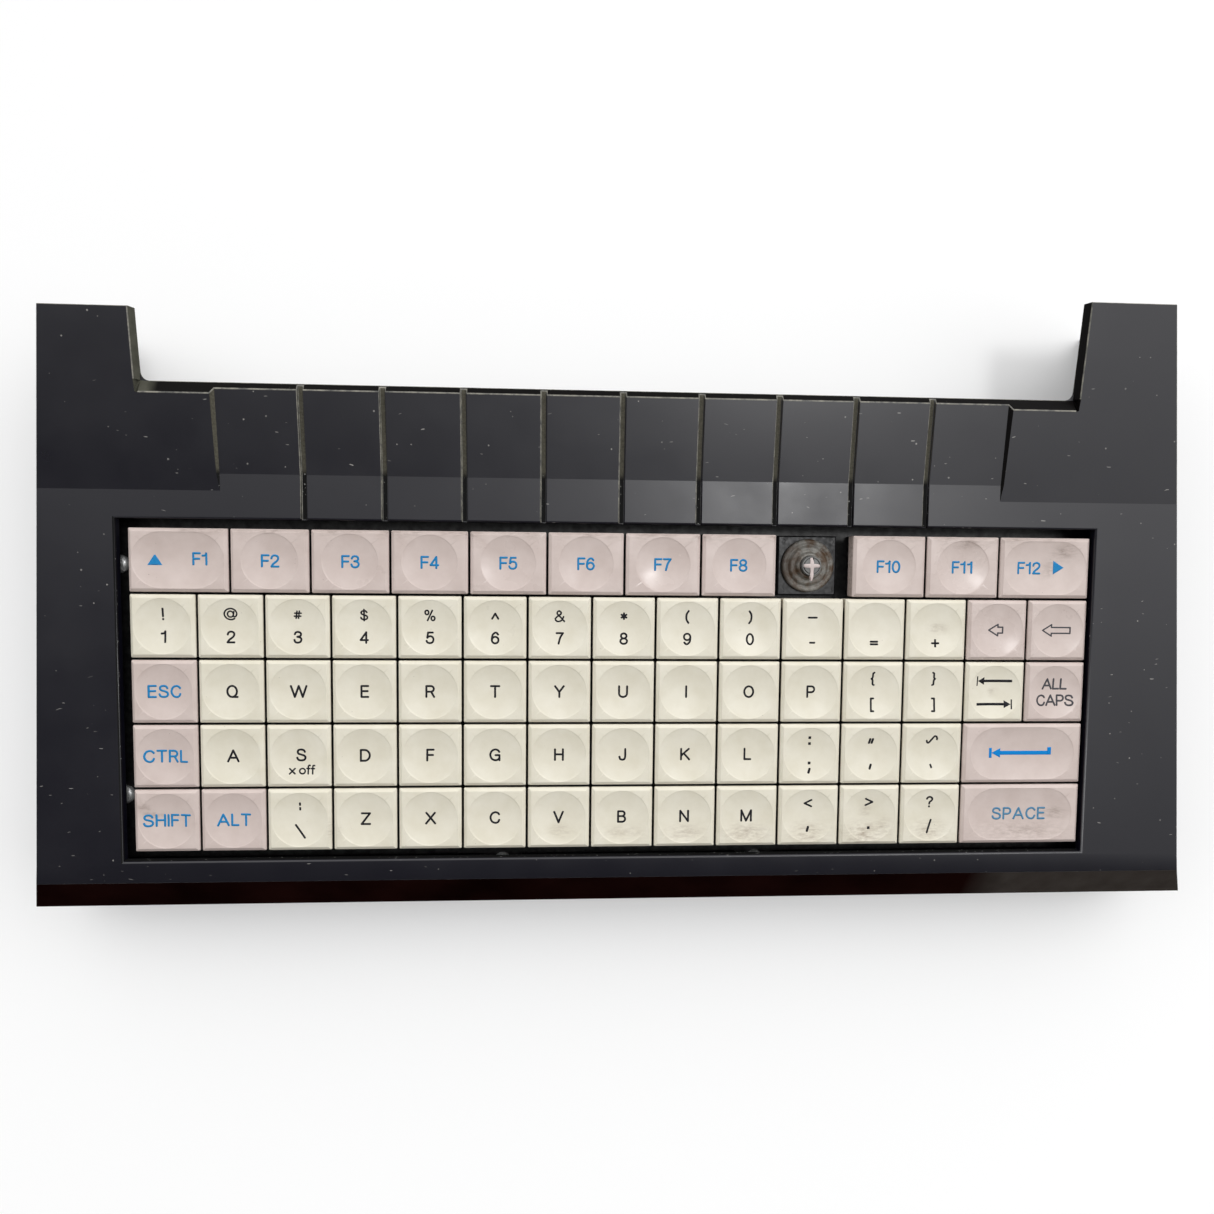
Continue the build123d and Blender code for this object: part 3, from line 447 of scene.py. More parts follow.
def rubber_finish():
    """Grey rubber with brown stains that follow the folds, and painted shade towards the left."""
    made = Finish("grey rubber", (0.2, 0.19, 0.17), 0.55)
    stain = made.range(made.noise(3.2, 5, 0.65), 0.42, 0.62)
    tone = made.blend(made.range(made.noise(1.1, 5, 0.7), 0.3, 0.7), (0.13, 0.125, 0.115),
                      (0.30, 0.29, 0.26))
    tone = made.blend(stain, tone, (0.085, 0.05, 0.026))
    side = made.along("X")
    # Painted shade: left of the bare switch's middle the rubber is painted dark brown, starting 2 mm left of
    # it and fullest from 8 mm left.
    shade = made.range(side, (bare_x - 8) * MM, (bare_x - 2) * MM, 0.75, 0.0)
    made.colour(made.blend(shade, tone, (0.03, 0.016, 0.009)))
    made.bump(made.noise(0.5, 4), 0.05, 0.5)
    return made.material


def plain_moulding(name, dark, light, roughness):
    made = Finish(name, dark, roughness)
    made.colour(made.blend(made.noise(4, 4), dark, light))
    made.gloss(made.range(made.noise(2.5, 3), 0.3, 0.7, roughness - 0.06, roughness + 0.08))
    made.bump(made.noise(0.3, 2), 0.015, 0.3)
    return made.material


def metal_finish(name, dark, light, roughness, grain=(1, 12, 1), metallic=1.0):
    """Plated or drawn metal with fine lines."""
    made = Finish(name, light, roughness, metallic=metallic)
    lines = made.noise(0.5, 4, 0.6, source=made.moved(scale=grain))
    made.colour(made.blend(made.range(made.noise(2.0, 4), 0.3, 0.7), dark, light))
    made.gloss(made.range(lines, 0.3, 0.7, roughness - 0.07, roughness + 0.10))
    made.bump(lines, 0.01, 0.3)
    return made.material


def board_finish():
    """Green lacquer over copper tracks."""
    made = Finish("board lacquer", (0.012, 0.09, 0.035), 0.35)
    tracks = made.node("ShaderNodeTexBrick", {
        "Vector": made.place, "Scale": 1 / (6.35 * MM), "Mortar Size": 0.06,
        "Color1": (0, 0, 0, 1), "Color2": (0, 0, 0, 1), "Mortar": (1, 1, 1, 1)}).outputs["Color"]
    made.colour(made.blend(tracks, (0.010, 0.075, 0.030), (0.030, 0.16, 0.055)))
    made.bump(tracks, 0.03, 0.5)
    return made.material


groove_dust_y = 39.2
recess_left = -119.6
housing_plastic = housing_finish()
rubbed_and_highlit_edge = edge_finish()
groove_dust = groove_finish()
bay_rim = rim_finish()
front_lip = lip_finish()
cap_cream = cap_finish("cream cap", (0.73, 0.695, 0.59), (0.66, 0.62, 0.505), (0.17, 0.105, 0.06))
cap_rose = cap_finish("rose cap", (0.60, 0.51, 0.475), (0.53, 0.44, 0.405), (0.13, 0.085, 0.06))
legend_blue = print_finish("blue legend", (0.006, 0.19, 0.44), (0.04, 0.24, 0.50))
legend_bright = print_finish("bright blue legend", (0.0, 0.195, 0.56), (0.0, 0.22, 0.60))
legend_faded = print_finish("faded blue legend", (0.05, 0.20, 0.36), (0.16, 0.27, 0.36))
legend_dark = print_finish("dark legend", (0.006, 0.006, 0.009), (0.03, 0.03, 0.034))
legend_grey = print_finish("grey legend", (0.055, 0.055, 0.062), (0.10, 0.10, 0.11))
switch_black = switch_finish()
rubber = rubber_finish()
stem_grey = plain_moulding("grey stem", (0.055, 0.055, 0.056), (0.20, 0.20, 0.19), 0.4)
stub_pink = plain_moulding("broken stub", (0.42, 0.33, 0.31), (0.72, 0.64, 0.62), 0.6)
cover_black = plain_moulding("black cover", (0.012, 0.012, 0.013), (0.02, 0.02, 0.022), 0.5)
screw_steel = metal_finish("bright screws", (0.62, 0.63, 0.62), (0.86, 0.87, 0.86), 0.35, metallic=0.5)
plate_steel = metal_finish("dark plate", (0.035, 0.035, 0.035), (0.07, 0.07, 0.07), 0.45)
spring_steel = metal_finish("spring wire", (0.45, 0.45, 0.44), (0.65, 0.65, 0.63), 0.3)
spacer_brass = metal_finish("spacer brass", (0.45, 0.33, 0.12), (0.62, 0.48, 0.2), 0.35)
connector_steel = metal_finish("connector shell", (0.45, 0.45, 0.43), (0.66, 0.66, 0.63), 0.3)
board_green = board_finish()
chip_black = plain_moulding("chip epoxy", (0.012, 0.012, 0.012), (0.022, 0.022, 0.022), 0.6)


# CAD nodes that keep their own shape
kept = {
    "back_cover": cover_black,
    "cover_screws": screw_steel,
    "switch_plate": plate_steel,
    "switch_bodies": switch_black,
    "key_springs": spring_steel,
    "circuit_board": board_green,
    "board_spacers": spacer_brass,
    "controller_chips": chip_black,
    "data_connector": connector_steel,
}
for node, finish in kept.items():
    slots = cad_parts[node].material_slots
    for slot in slots:
        slot.material = finish


# Housing with its moulded edges rounded
edge_round = 0.22
edge_angle = 20
bend_angles = (1.5, 15)
groove_count = 9
groove_pitch = 22.86
groove_x = -4.7
groove_half_width = 0.8
recess_right = 109.6
step_reach = 4.5
deck_height = 34.0
groove_floor_depth = 0.5
face_z = 30
seen_z = 25
seen_x = 176
seen_y = 88
least_edge = 0.8
corner_edge = 8
panel_bend_y = 38.2
bend_lines = (33.4, panel_bend_y)
bend_reach = 0.1
panel_angle = 7
bay_edge_y = 60.2
crease_y = -81.1
bay_corner_reach = 5.0
bay_left = -140.8
bay_right = 130.6
opening_left = -149.0
opening_rear = 25.3
housing_finishes = [housing_plastic, rubbed_and_highlit_edge, groove_dust, bay_rim, front_lip]
groove_lines = [groove_x + (number - (groove_count - 1) / 2) * groove_pitch for number in range(groove_count)]


def housing_part(place, facing):
    """Which finish a face of the housing takes, from its middle and its normal."""
    x, y, z = place
    surface = deck_height + max(0, y - panel_bend_y) * math.tan(math.radians(panel_angle))
    in_groove = abs(facing[0]) > 0.9 or z < surface - groove_floor_depth
    for line in groove_lines:
        if abs(x - line) < groove_half_width + 0.05 and y < bay_edge_y + 1 and z > face_z and in_groove:
            return groove_dust
    if y > bay_edge_y - 0.5 and facing[2] < 0.95 and bay_left - 1 < x < bay_right + 1:
        return bay_rim
    if beside_recess(x) and abs(facing[0]) > 0.4 and z > face_z and facing[2] > 0.1:
        return groove_dust if x < 0 else bay_rim
    if y < crease_y - 0.5 and 0.5 < facing[2] < 0.95:
        return front_lip
    return housing_plastic


def beside_recess(x):
    """Whether a place lies on the short slope at either end of the panels."""
    at_left = recess_left - step_reach < x < recess_left + 1
    return at_left or recess_right - 1 < x < recess_right + step_reach


def edge_part(place):
    """Which finish a rounded edge takes: pale, partly a painted edge highlight, at the bay and at the
    grooves' left edges; the groove finish, dark with pale crumbs, at the opening's left.
    """
    x, y, z = place
    if z < face_z:
        return housing_plastic
    # Painted edge highlight, with rubbed wear: the bay's rounded edges take the pale finish.
    if y > bay_edge_y - 1.2:
        return rubbed_and_highlit_edge
    # Painted edge highlight: of each groove only the left edge, which turns to the light, takes the pale
    # finish.
    for line in groove_lines:
        if 0 < line - x < groove_half_width + 0.5 and y > opening_rear + 0.5:
            return rubbed_and_highlit_edge
    if abs(x - opening_left) < 0.6 and y < opening_rear:
        return groove_dust
    return housing_plastic


def along_bend(edge):
    """Whether an edge lies in the cross-section of one of the soft bends."""
    ends = [vertex.co.y / MM for vertex in edge.verts]
    return any(max(abs(end - line) for end in ends) < bend_reach for line in bend_lines)


def stays_plain(middle, length):
    """Whether an edge with that middle and length lies beside the panels or in a corner of the bay."""
    beside_bay = min(abs(middle.x - bay_left), abs(middle.x - bay_right))
    at_corner = middle.y > bay_edge_y - 0.5 and beside_bay < bay_corner_reach and length < corner_edge
    return at_corner or beside_recess(middle.x) and bay_edge_y - 1 > middle.y > opening_rear + 1


def round_housing():
    """The housing's own shape, its edges softened as a moulding's are."""
    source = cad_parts["top_housing"]
    mesh = source.data.copy()
    mesh.attributes.remove(mesh.attributes["custom_normal"])
    shell = bmesh.new()
    shell.from_mesh(mesh)
    bmesh.ops.remove_doubles(shell, verts=shell.verts, dist=0.002 * MM)
    bmesh.ops.dissolve_limit(shell, angle_limit=math.radians(1.0), verts=shell.verts, edges=shell.edges)
    weight = shell.edges.layers.float.new("bevel_weight_edge")
    for edge in shell.edges:
        middle = (edge.verts[0].co + edge.verts[1].co) / 2 / MM
        outside = middle.z > seen_z or abs(middle.x) > seen_x or abs(middle.y) > seen_y
        short = edge.calc_length() < least_edge * MM
        plain = stays_plain(middle, edge.calc_length() / MM) or not outside or short
        if len(edge.link_faces) == 2 and edge.calc_face_angle() > math.radians(edge_angle) and not plain:
            edge[weight] = 1.0
    for face in shell.faces:
        finish = housing_part(face.calc_center_median() / MM, face.normal)
        face.material_index = housing_finishes.index(finish)
    mesh.materials.clear()
    for finish in housing_finishes:
        mesh.materials.append(finish)
    shell.to_mesh(mesh)
    shell.free()
    rounded = placed("housing to round", mesh)
    bevel = rounded.modifiers.new("rounded edges", "BEVEL")
    bevel.width = edge_round * MM
    bevel.segments = 3
    bevel.limit_method = "WEIGHT"
    bevel.use_clamp_overlap = False
    bevel.material = housing_finishes.index(rubbed_and_highlit_edge)
    made = placed("moulded_housing", baked(rounded))
    bpy.data.objects.remove(rounded)
    mesh = made.data
    mesh.polygons.foreach_set("use_smooth", [True] * len(mesh.polygons))
    shell = bmesh.new()
    shell.from_mesh(mesh)
    for face in shell.faces:
        if housing_finishes[face.material_index] == rubbed_and_highlit_edge:
            face.material_index = housing_finishes.index(edge_part(face.calc_center_median() / MM))
    low, high = (math.radians(angle) for angle in bend_angles)
    for edge in shell.edges:
        angle = edge.calc_face_angle(0)
        at_rear = min(vertex.co.y for vertex in edge.verts) > 0
        bend = low < angle < high and edge.calc_length() > 2 * edge_round * MM and at_rear
        middle = (edge.verts[0].co + edge.verts[1].co) / 2 / MM
        kept_sharp = along_bend(edge) or stays_plain(middle, edge.calc_length() / MM)
        edge.smooth = not (bend or angle > low and kept_sharp)
    shell.to_mesh(mesh)
    shell.free()
    weights = made.modifiers.new("even shading", "WEIGHTED_NORMAL")
    weights.keep_sharp = True
    weights.weight = 80
    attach(made, "panel")
    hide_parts("top_housing")
    return made


round_housing()


# Keys, row by row from the left: name, width in key units, cap colour and legends
def pair(upper, lower, raise_upper=3.5, drop_lower=3.1):
    return [(upper, 0, raise_upper, 0.96), (lower, 0, -drop_lower, 0.96)]


def word(text, share=1.0):
    return [(text, 0, 0, share)]


end_units = 1.5
function_units = 1.2
double_units = 2.0
function_row = [("f1_key", end_units, "rose", [("triangle_up", -6.7, 0.15, 1.0), ("F1", 5.9, 0.4, 1.0)])]
function_row += [("f%d_key" % n, function_units, "rose", word("F%d" % n)) for n in range(2, 9)]
function_row += [("f9_stem", function_units, None, [])]
function_row += [("f%d_key" % n, function_units, "rose", word("F%d" % n)) for n in (10, 11)]
function_row += [("f12_key", end_units, "rose", [("F12", -4.7, 0.0, 1.0), ("triangle_right", 4.6, 0.2, 1.0)])]

digit_names = ("one", "two", "three", "four", "five", "six", "seven", "eight", "nine", "zero")
number_row = [(name + "_key", 1, "cream", pair(upper, lower))
              for name, upper, lower in zip(digit_names, "!@#$%^&*()", "1234567890")]
number_row += [
    ("minus_key", 1, "cream", pair("_", "-", 3.5, 4.1)),
    ("equals_key", 1, "cream", [("=", 0, -4.1, 1.0)]),
    ("plus_key", 1, "cream", [("+", 0, -4.1, 1.0)]),
    ("short_arrow_key", 1, "rose", [("short_arrow", 0, 0, 1.0)]),
    ("long_arrow_key", 1, "rose", [("long_arrow", 0, 0, 1.0)]),
]
upper_row = [("esc_key", 1, "rose", word("ESC"))]
upper_row += [("upper_letter_keys", 1, "cream", word(letter)) for letter in "QWERTYUIOP"]
upper_row += [
    ("left_bracket_key", 1, "cream", pair("{", "[", 4.0, 4.0)),
    ("right_bracket_key", 1, "cream", pair("}", "]", 4.0, 4.0)),
    ("tab_key", 1, "cream", [("tab_left", 0, 3.4, 1.0), ("tab_right", 0, -3.8, 1.0)]),
    ("all_caps_key", 1, "rose", [("ALL", 0.1, 2.5, 0.94), ("CAPS", 0.3, -2.6, 0.94)]),
]
middle_row = [("ctrl_key", 1, "rose", word("CTRL"))]
middle_row += [("middle_letter_keys", 1, "cream",
                [("S", 0.5, 0.2, 1.0), ("x off", 0.75, -4.1, 0.76)] if letter == "S" else word(letter))
               for letter in "ASDFGHJKL"]
middle_row += [
    ("semicolon_key", 1, "cream", pair(":", ";", 4.05, 3.95)),
    ("quote_key", 1, "cream", pair("\"", "'", 3.85, 4.1)),
    ("tilde_key", 1, "cream", pair("~", "`", 4.2, 4.0)),
    ("enter_key", double_units, "rose", [("enter_arrow", 0.0, 0.0, 1.0)]),
]
lower_row = [
    ("shift_key", 1, "rose", word("SHIFT")),
    ("alt_key", 1, "rose", word("ALT")),
    ("backslash_key", 1, "cream", pair("|", "\\", 3.9, 3.6)),
]
lower_row += [("lower_letter_keys", 1, "cream", word(letter)) for letter in "ZXCVBNM"]
lower_row += [
    ("comma_key", 1, "cream", pair("<", ",", 3.7, 4.25)),
    ("period_key", 1, "cream", pair(">", ".", 3.95, 4.1)),
    ("slash_key", 1, "cream", pair("?", "/", 3.9, 3.75)),
    ("space_key", double_units, "rose", word("SPACE", 1.03)),
]


def key_places():
    """Every key as (name, units, colour, legends, x, y)."""
    places = []
    for number, row in enumerate((function_row, number_row, upper_row, middle_row, lower_row)):
        y = keyboard_y + ((key_rows - 1) / 2 - number) * key_pitch
        done = 0
        for name, units, colour, legends in row:
            x = keyboard_x + (done + units / 2 - key_columns / 2) * key_pitch
            places.append((name, units, colour, legends, x, y))
            done += units
    return places


keys = key_places()


def dish_half_run(units):
    """Half the straight run of a dish, none for a round one."""
    width = units * key_pitch - key_gap
    margin = {end_units: end_dish_margin, double_units: double_dish_margin}.get(units)
    if margin is None:
        return 0.0
    return (width - margin) / 2 - dish_radius


def cap_top(x, y, half_run):
    """Height of a cap's upper side at a place measured from its middle."""
    nearest = max(-half_run, min(half_run, x))
    share = math.hypot(x - nearest, y) / dish_radius
    if share >= 1:
        return cap_rim_z
    if share > dish_step_share:
        return cap_rim_z - dish_step * (1 - share) / (1 - dish_step_share)
    return cap_rim_z - dish_step - (dish_depth - dish_step) * (1 - (share / dish_step_share) ** 2)


corner_steps = 5
side_steps = 9


def cap_outline(half_x, half_y, radius, z):
    """A rectangle with rounded corners, anticlockwise from above."""
    points = []
    for number, (sx, sy) in enumerate(((1, 1), (-1, 1), (-1, -1), (1, -1))):
        corner = arc(sx * (half_x - radius), sy * (half_y - radius), radius, radius,
                     90 * number, 90 * number + 90, corner_steps)
        points += corner
        next_x, next_y = ((-1, 1), (-1, -1), (1, -1), (1, 1))[number]
        start = corner[-1]
        end_angle = math.radians(90 * number + 90)
        end = (next_x * (half_x - radius) + radius * math.cos(end_angle),
               next_y * (half_y - radius) + radius * math.sin(end_angle))
        for step in range(1, side_steps):
            share = step / side_steps
            points.append((start[0] + (end[0] - start[0]) * share, start[1] + (end[1] - start[1]) * share))
    return [(x, y, z) for x, y in points]


# Cap edge from the skirt to the flat rim: inset from the outline, height
cap_profile = ((0.06, 28.5), (0.06, 31.9), (0.06, 32.2), (0.06, 32.40), (0.11, 32.56), (0.22, 32.70),
               (0.36, 32.80), (0.94, 33.21), (1.01, 33.27), (1.09, 33.3))
dish_shares = (1.0, 0.994, 0.978, 0.972, 0.93, 0.82, 0.66, 0.48, 0.29, 0.1)


def add_cap(shape, units, x, y):
    """One cap with its dish, its hollow underside and its stem with the spring's pocket."""
    half_x = (units * key_pitch - key_gap) / 2
    half_y = cap_size / 2
    half_run = dish_half_run(units)
    outer = cap_outline(half_x, half_y, cap_corner, 0)
    rings = [cap_outline(half_x - cap_wall, half_y - cap_wall, cap_corner / 3, cap_roof_z)]
    rings.append(cap_outline(half_x - cap_wall, half_y - cap_wall, cap_corner / 3, cap_foot_z))
    for inset, z in cap_profile:
        rings.append(cap_outline(half_x - inset, half_y - inset, max(cap_corner - inset, 0.12), z))
    for share in dish_shares:
        ring = []
        for px, py, _ in outer:
            nearest = max(-half_run, min(half_run, px))
            away = Vector((px - nearest, py)).normalized() * dish_radius * share
            ring.append((nearest + away.x, away.y, cap_top(nearest + away.x, away.y, half_run)))
        rings.append(ring)
    if half_run:
        rings.append([(max(-half_run, min(half_run, px)), 0.0, cap_rim_z - dish_depth) for px, _, _ in outer])
        shape.loft([[(px + x, py + y, pz) for px, py, pz in ring] for ring in rings], close_last=False)
    else:
        shape.loft([[(px + x, py + y, pz) for px, py, pz in ring] for ring in rings])
    shape.lathe(x, y, stem_foot + ((stem_radius, cap_roof_z + 0.1),), 24)


# Strokes of the legends, in shares of the capital height, on the line's middle
glyphs = {
    "A": (0.92, [[(0, 0), (0.46, 1)], [(0.92, 0), (0.46, 1)], [(0.16, 0.33), (0.76, 0.33)]]),
    "B": (0.66, [[(0, 0), (0, 1)], [(0, 1), (0.36, 1)] + arc(0.36, 0.765, 0.25, 0.235, 90, -90),
                 [(0, 0.53), (0.38, 0.53)] + arc(0.38, 0.265, 0.28, 0.265, 90, -90) + [(0, 0)]]),
    "C": (0.80, [smooth((0.79, 0.80), (0.66, 0.94), (0.43, 1.0), (0.14, 0.86), (0, 0.5), (0.14, 0.14),
                        (0.43, 0), (0.68, 0.07), (0.80, 0.28))]),
    "D": (0.80, [[(0, 0), (0, 1)], [(0, 1), (0.32, 1)] + arc(0.32, 0.5, 0.48, 0.5, 90, -90, 16) + [(0, 0)]]),
    "E": (0.60, [[(0, 0), (0, 1)], [(0, 1), (0.60, 1)], [(0, 0.53), (0.55, 0.53)], [(0, 0), (0.60, 0)]]),
    "F": (0.58, [[(0, 0), (0, 1)], [(0, 1), (0.58, 1)], [(0, 0.51), (0.52, 0.51)]]),
    "G": (0.86, [smooth((0.82, 0.78), (0.68, 0.94), (0.45, 1.0), (0.14, 0.86), (0, 0.5), (0.14, 0.14),
                        (0.45, 0), (0.70, 0.06), (0.84, 0.24)), [(0.84, 0), (0.84, 0.47)],
                 [(0.84, 0.47), (0.48, 0.47)]]),
    "H": (0.73, [[(0, 0), (0, 1)], [(0.73, 0), (0.73, 1)], [(0, 0.52), (0.73, 0.52)]]),
    "I": (0.0, [[(0, 0), (0, 1)]]),
    "J": (0.54, [[(0.54, 1), (0.54, 0.26)] + smooth((0.54, 0.26), (0.46, 0.06), (0.26, 0), (0.07, 0.07),
                                                    (0, 0.28))]),
    "K": (0.76, [[(0, 0), (0, 1)], [(0.72, 1), (0, 0.36)], [(0.25, 0.58), (0.76, 0)]]),
    "L": (0.56, [[(0, 1), (0, 0)], [(0, 0), (0.56, 0)]]),
    "M": (0.92, [[(0, 0), (0, 1)], [(0, 1), (0.46, 0)], [(0.46, 0), (0.92, 1)], [(0.92, 1), (0.92, 0)]]),
    "N": (0.74, [[(0, 0), (0, 1)], [(0, 1), (0.74, 0)], [(0.74, 0), (0.74, 1)]]),
    "O": (0.84, [arc(0.42, 0.5, 0.42, 0.5, 0, 360, 28)]),
    "P": (0.65, [[(0, 0), (0, 1)], [(0, 1), (0.38, 1)] + arc(0.38, 0.725, 0.27, 0.275, 90, -90)
                 + [(0, 0.45)]]),
    "Q": (0.84, [arc(0.42, 0.5, 0.42, 0.5, 0, 360, 28), [(0.42, 0.0), (0.90, 0.0)]]),
    "R": (0.70, [[(0, 0), (0, 1)], [(0, 1), (0.40, 1)] + arc(0.40, 0.74, 0.27, 0.26, 90, -90)
                 + [(0, 0.48)], [(0.42, 0.48), (0.70, 0)]]),
    "S": (0.74, [smooth((0.69, 0.78), (0.59, 0.94), (0.36, 1.0), (0.13, 0.94), (0.05, 0.77),
                        (0.14, 0.61), (0.38, 0.53), (0.64, 0.43), (0.74, 0.25), (0.63, 0.06),
                        (0.37, 0), (0.11, 0.06), (0, 0.25))]),
    "T": (0.76, [[(0.38, 0), (0.38, 1)], [(0, 1), (0.76, 1)]]),
    "U": (0.74, [[(0, 1), (0, 0.33)] + arc(0.37, 0.33, 0.37, 0.33, 180, 360, 16) + [(0.74, 1)]]),
    "V": (0.80, [[(0, 1), (0.40, 0)], [(0.40, 0), (0.80, 1)]]),
    "W": (1.38, [[(0, 1), (0.34, 0)], [(0.34, 0), (0.69, 1)], [(0.69, 1), (1.04, 0)],
                 [(1.04, 0), (1.38, 1)]]),
    "X": (0.82, [[(0, 0), (0.80, 1)], [(0.02, 1), (0.82, 0)]]),
    "Y": (0.80, [[(0, 1), (0.40, 0.46)], [(0.80, 1), (0.40, 0.46)], [(0.40, 0.46), (0.40, 0)]]),
    "Z": (0.76, [[(0.02, 1), (0.76, 1)], [(0.76, 1), (0, 0)], [(0, 0), (0.76, 0)]]),
    "0": (0.62, [arc(0.31, 0.5, 0.31, 0.5, 0, 360, 24)]),
    "1": (0.34, [[(0.34, 0), (0.34, 1)], smooth((0.34, 1), (0.24, 0.83), (0.0, 0.79))]),
    "2": (0.64, [smooth((0.02, 0.72), (0.10, 0.92), (0.32, 1.0), (0.55, 0.92), (0.62, 0.73),
                        (0.50, 0.50), (0.18, 0.24), (0.02, 0)), [(0.02, 0), (0.64, 0)]]),
    "3": (0.64, [smooth((0.03, 0.78), (0.12, 0.94), (0.32, 1.0), (0.53, 0.93), (0.60, 0.76),
                        (0.50, 0.60), (0.26, 0.54)),
                 smooth((0.26, 0.54), (0.54, 0.47), (0.64, 0.27), (0.54, 0.07), (0.31, 0),
                        (0.09, 0.06), (0, 0.26))]),
    "4": (0.68, [[(0.52, 0), (0.52, 1)], [(0.52, 1), (0, 0.26)], [(0, 0.26), (0.68, 0.26)]]),
    "5": (0.64, [[(0.58, 1), (0.13, 1)], [(0.13, 1), (0.06, 0.50)],
                 smooth((0.06, 0.50), (0.20, 0.62), (0.36, 0.65), (0.56, 0.56), (0.64, 0.33),
                        (0.55, 0.09), (0.31, 0), (0.09, 0.06), (0, 0.22))]),
    "6": (0.62, [arc(0.31, 0.31, 0.31, 0.31, 0, 360, 22),
                 smooth((0.58, 0.84), (0.46, 0.98), (0.30, 1.0), (0.08, 0.82), (0, 0.50), (0.0, 0.31))]),
    "7": (0.62, [[(0, 1), (0.62, 1)], smooth((0.62, 1), (0.36, 0.58), (0.20, 0))]),
    "8": (0.64, [arc(0.32, 0.76, 0.27, 0.24, 0, 360, 20), arc(0.32, 0.26, 0.32, 0.26, 0, 360, 20)]),
    "9": (0.62, [arc(0.31, 0.69, 0.31, 0.31, 0, 360, 22),
                 smooth((0.04, 0.16), (0.16, 0.02), (0.32, 0), (0.54, 0.18), (0.62, 0.50), (0.62, 0.69))]),
    "x": (0.62, [[(0, 0), (0.62, 0.62)], [(0.62, 0), (0, 0.62)]]),
    "o": (0.66, [arc(0.33, 0.31, 0.33, 0.31, 0, 360, 22)]),
    "f": (0.34, [smooth((0.38, 0.98), (0.26, 1.0), (0.16, 0.90), (0.15, 0.74)) + [(0.15, 0)],
                 [(0, 0.62), (0.34, 0.62)]]),
    " ": (0.14, []),
    "!": (0.0, [[(0, 0.28), (0, 1)], [(0, 0), (0, 0.04)]]),
    "@": (1.14, [smooth((0.92, 0.10), (0.60, 0.0), (0.20, 0.14), (0.0, 0.50), (0.16, 0.88), (0.58, 1.05),
                        (0.98, 0.90), (1.14, 0.56), (1.02, 0.30), (0.86, 0.28), (0.82, 0.40), (0.88, 0.76)),
                 arc(0.56, 0.52, 0.27, 0.28, 0, 360, 20)]),
    "#": (0.62, [[(0.16, 0.16), (0.26, 0.84)], [(0.38, 0.16), (0.48, 0.84)], [(0, 0.36), (0.60, 0.36)],
                 [(0.04, 0.64), (0.64, 0.64)]]),
    "$": (0.60, [smooth((0.56, 0.76), (0.45, 0.88), (0.28, 0.91), (0.09, 0.84), (0.03, 0.70), (0.13, 0.57),
                        (0.32, 0.50), (0.53, 0.42), (0.60, 0.27), (0.50, 0.12), (0.29, 0.08), (0.09, 0.13),
                        (0, 0.27)), [(0.30, -0.03), (0.30, 1.03)]]),
    "%": (0.90, [arc(0.17, 0.78, 0.17, 0.20, 0, 360, 14), arc(0.73, 0.22, 0.17, 0.20, 0, 360, 14),
                 [(0.68, 0.98), (0.22, 0.02)]]),
    "^": (0.66, [[(0.04, 0.22), (0.33, 0.72)], [(0.33, 0.72), (0.62, 0.22)]]),
    "&": (0.86, [smooth((0.86, 0.0), (0.54, 0.36), (0.24, 0.66), (0.17, 0.84), (0.34, 1.0), (0.54, 0.88),
                        (0.50, 0.70), (0.20, 0.48), (0.0, 0.24), (0.12, 0.04), (0.34, 0.0), (0.62, 0.12),
                        (0.78, 0.46))]),
    "*": (0.56, [[(0.28, 0.26), (0.28, 0.82)], [(0.04, 0.40), (0.52, 0.68)], [(0.52, 0.40), (0.04, 0.68)]]),
    "(": (0.22, [smooth((0.22, 1.08), (0.05, 0.82), (0.0, 0.50), (0.05, 0.18), (0.22, -0.08))]),
    ")": (0.22, [smooth((0, 1.08), (0.17, 0.82), (0.22, 0.50), (0.17, 0.18), (0, -0.08))]),
    "_": (0.80, [[(0, 0.5), (0.80, 0.5)]]),
    "-": (0.44, [[(0, 0.5), (0.44, 0.5)]]),
    "=": (0.62, [[(0, 0.38), (0.62, 0.38)], [(0, 0.62), (0.62, 0.62)]]),
    "+": (0.62, [[(0, 0.5), (0.62, 0.5)], [(0.31, 0.19), (0.31, 0.81)]]),
    "{": (0.26, [smooth((0.26, 1.12), (0.14, 1.04), (0.13, 0.86), (0.11, 0.62), (0.0, 0.5)),
                 smooth((0.0, 0.5), (0.11, 0.38), (0.13, 0.14), (0.14, -0.04), (0.26, -0.12))]),
    "}": (0.26, [smooth((0, 1.12), (0.12, 1.04), (0.13, 0.86), (0.15, 0.62), (0.26, 0.5)),
                 smooth((0.26, 0.5), (0.15, 0.38), (0.13, 0.14), (0.12, -0.04), (0, -0.12))]),
    "[": (0.24, [[(0.24, 1.12), (0, 1.12)], [(0, 1.12), (0, -0.12)], [(0, -0.12), (0.24, -0.12)]]),
    "]": (0.24, [[(0, 1.12), (0.24, 1.12)], [(0.24, 1.12), (0.24, -0.12)], [(0.24, -0.12), (0, -0.12)]]),
    ":": (0.0, []),
    ";": (0.12, [[(0.11, 0.27), (0.0, -0.08)]]),
    "\"": (0.40, [[(0.13, 0.70), (0.02, 0.32)], [(0.40, 0.70), (0.29, 0.32)]]),
    "'": (0.11, [[(0.11, 0.70), (0.0, 0.32)]]),
    "~": (1.00, [smooth((0, 0.42), (0.06, 0.24), (0.22, 0.22), (0.50, 0.54), (0.76, 0.85), (0.94, 0.84),
                        (1.03, 0.66), (1.02, 0.54))]),
    "`": (0.10, [[(0, 0.64), (0.10, 0.38)]]),
    "<": (0.70, [[(0.68, 0.84), (0, 0.5)], [(0, 0.5), (0.68, 0.18)]]),
    ">": (0.70, [[(0, 0.84), (0.70, 0.5)], [(0.70, 0.5), (0, 0.18)]]),
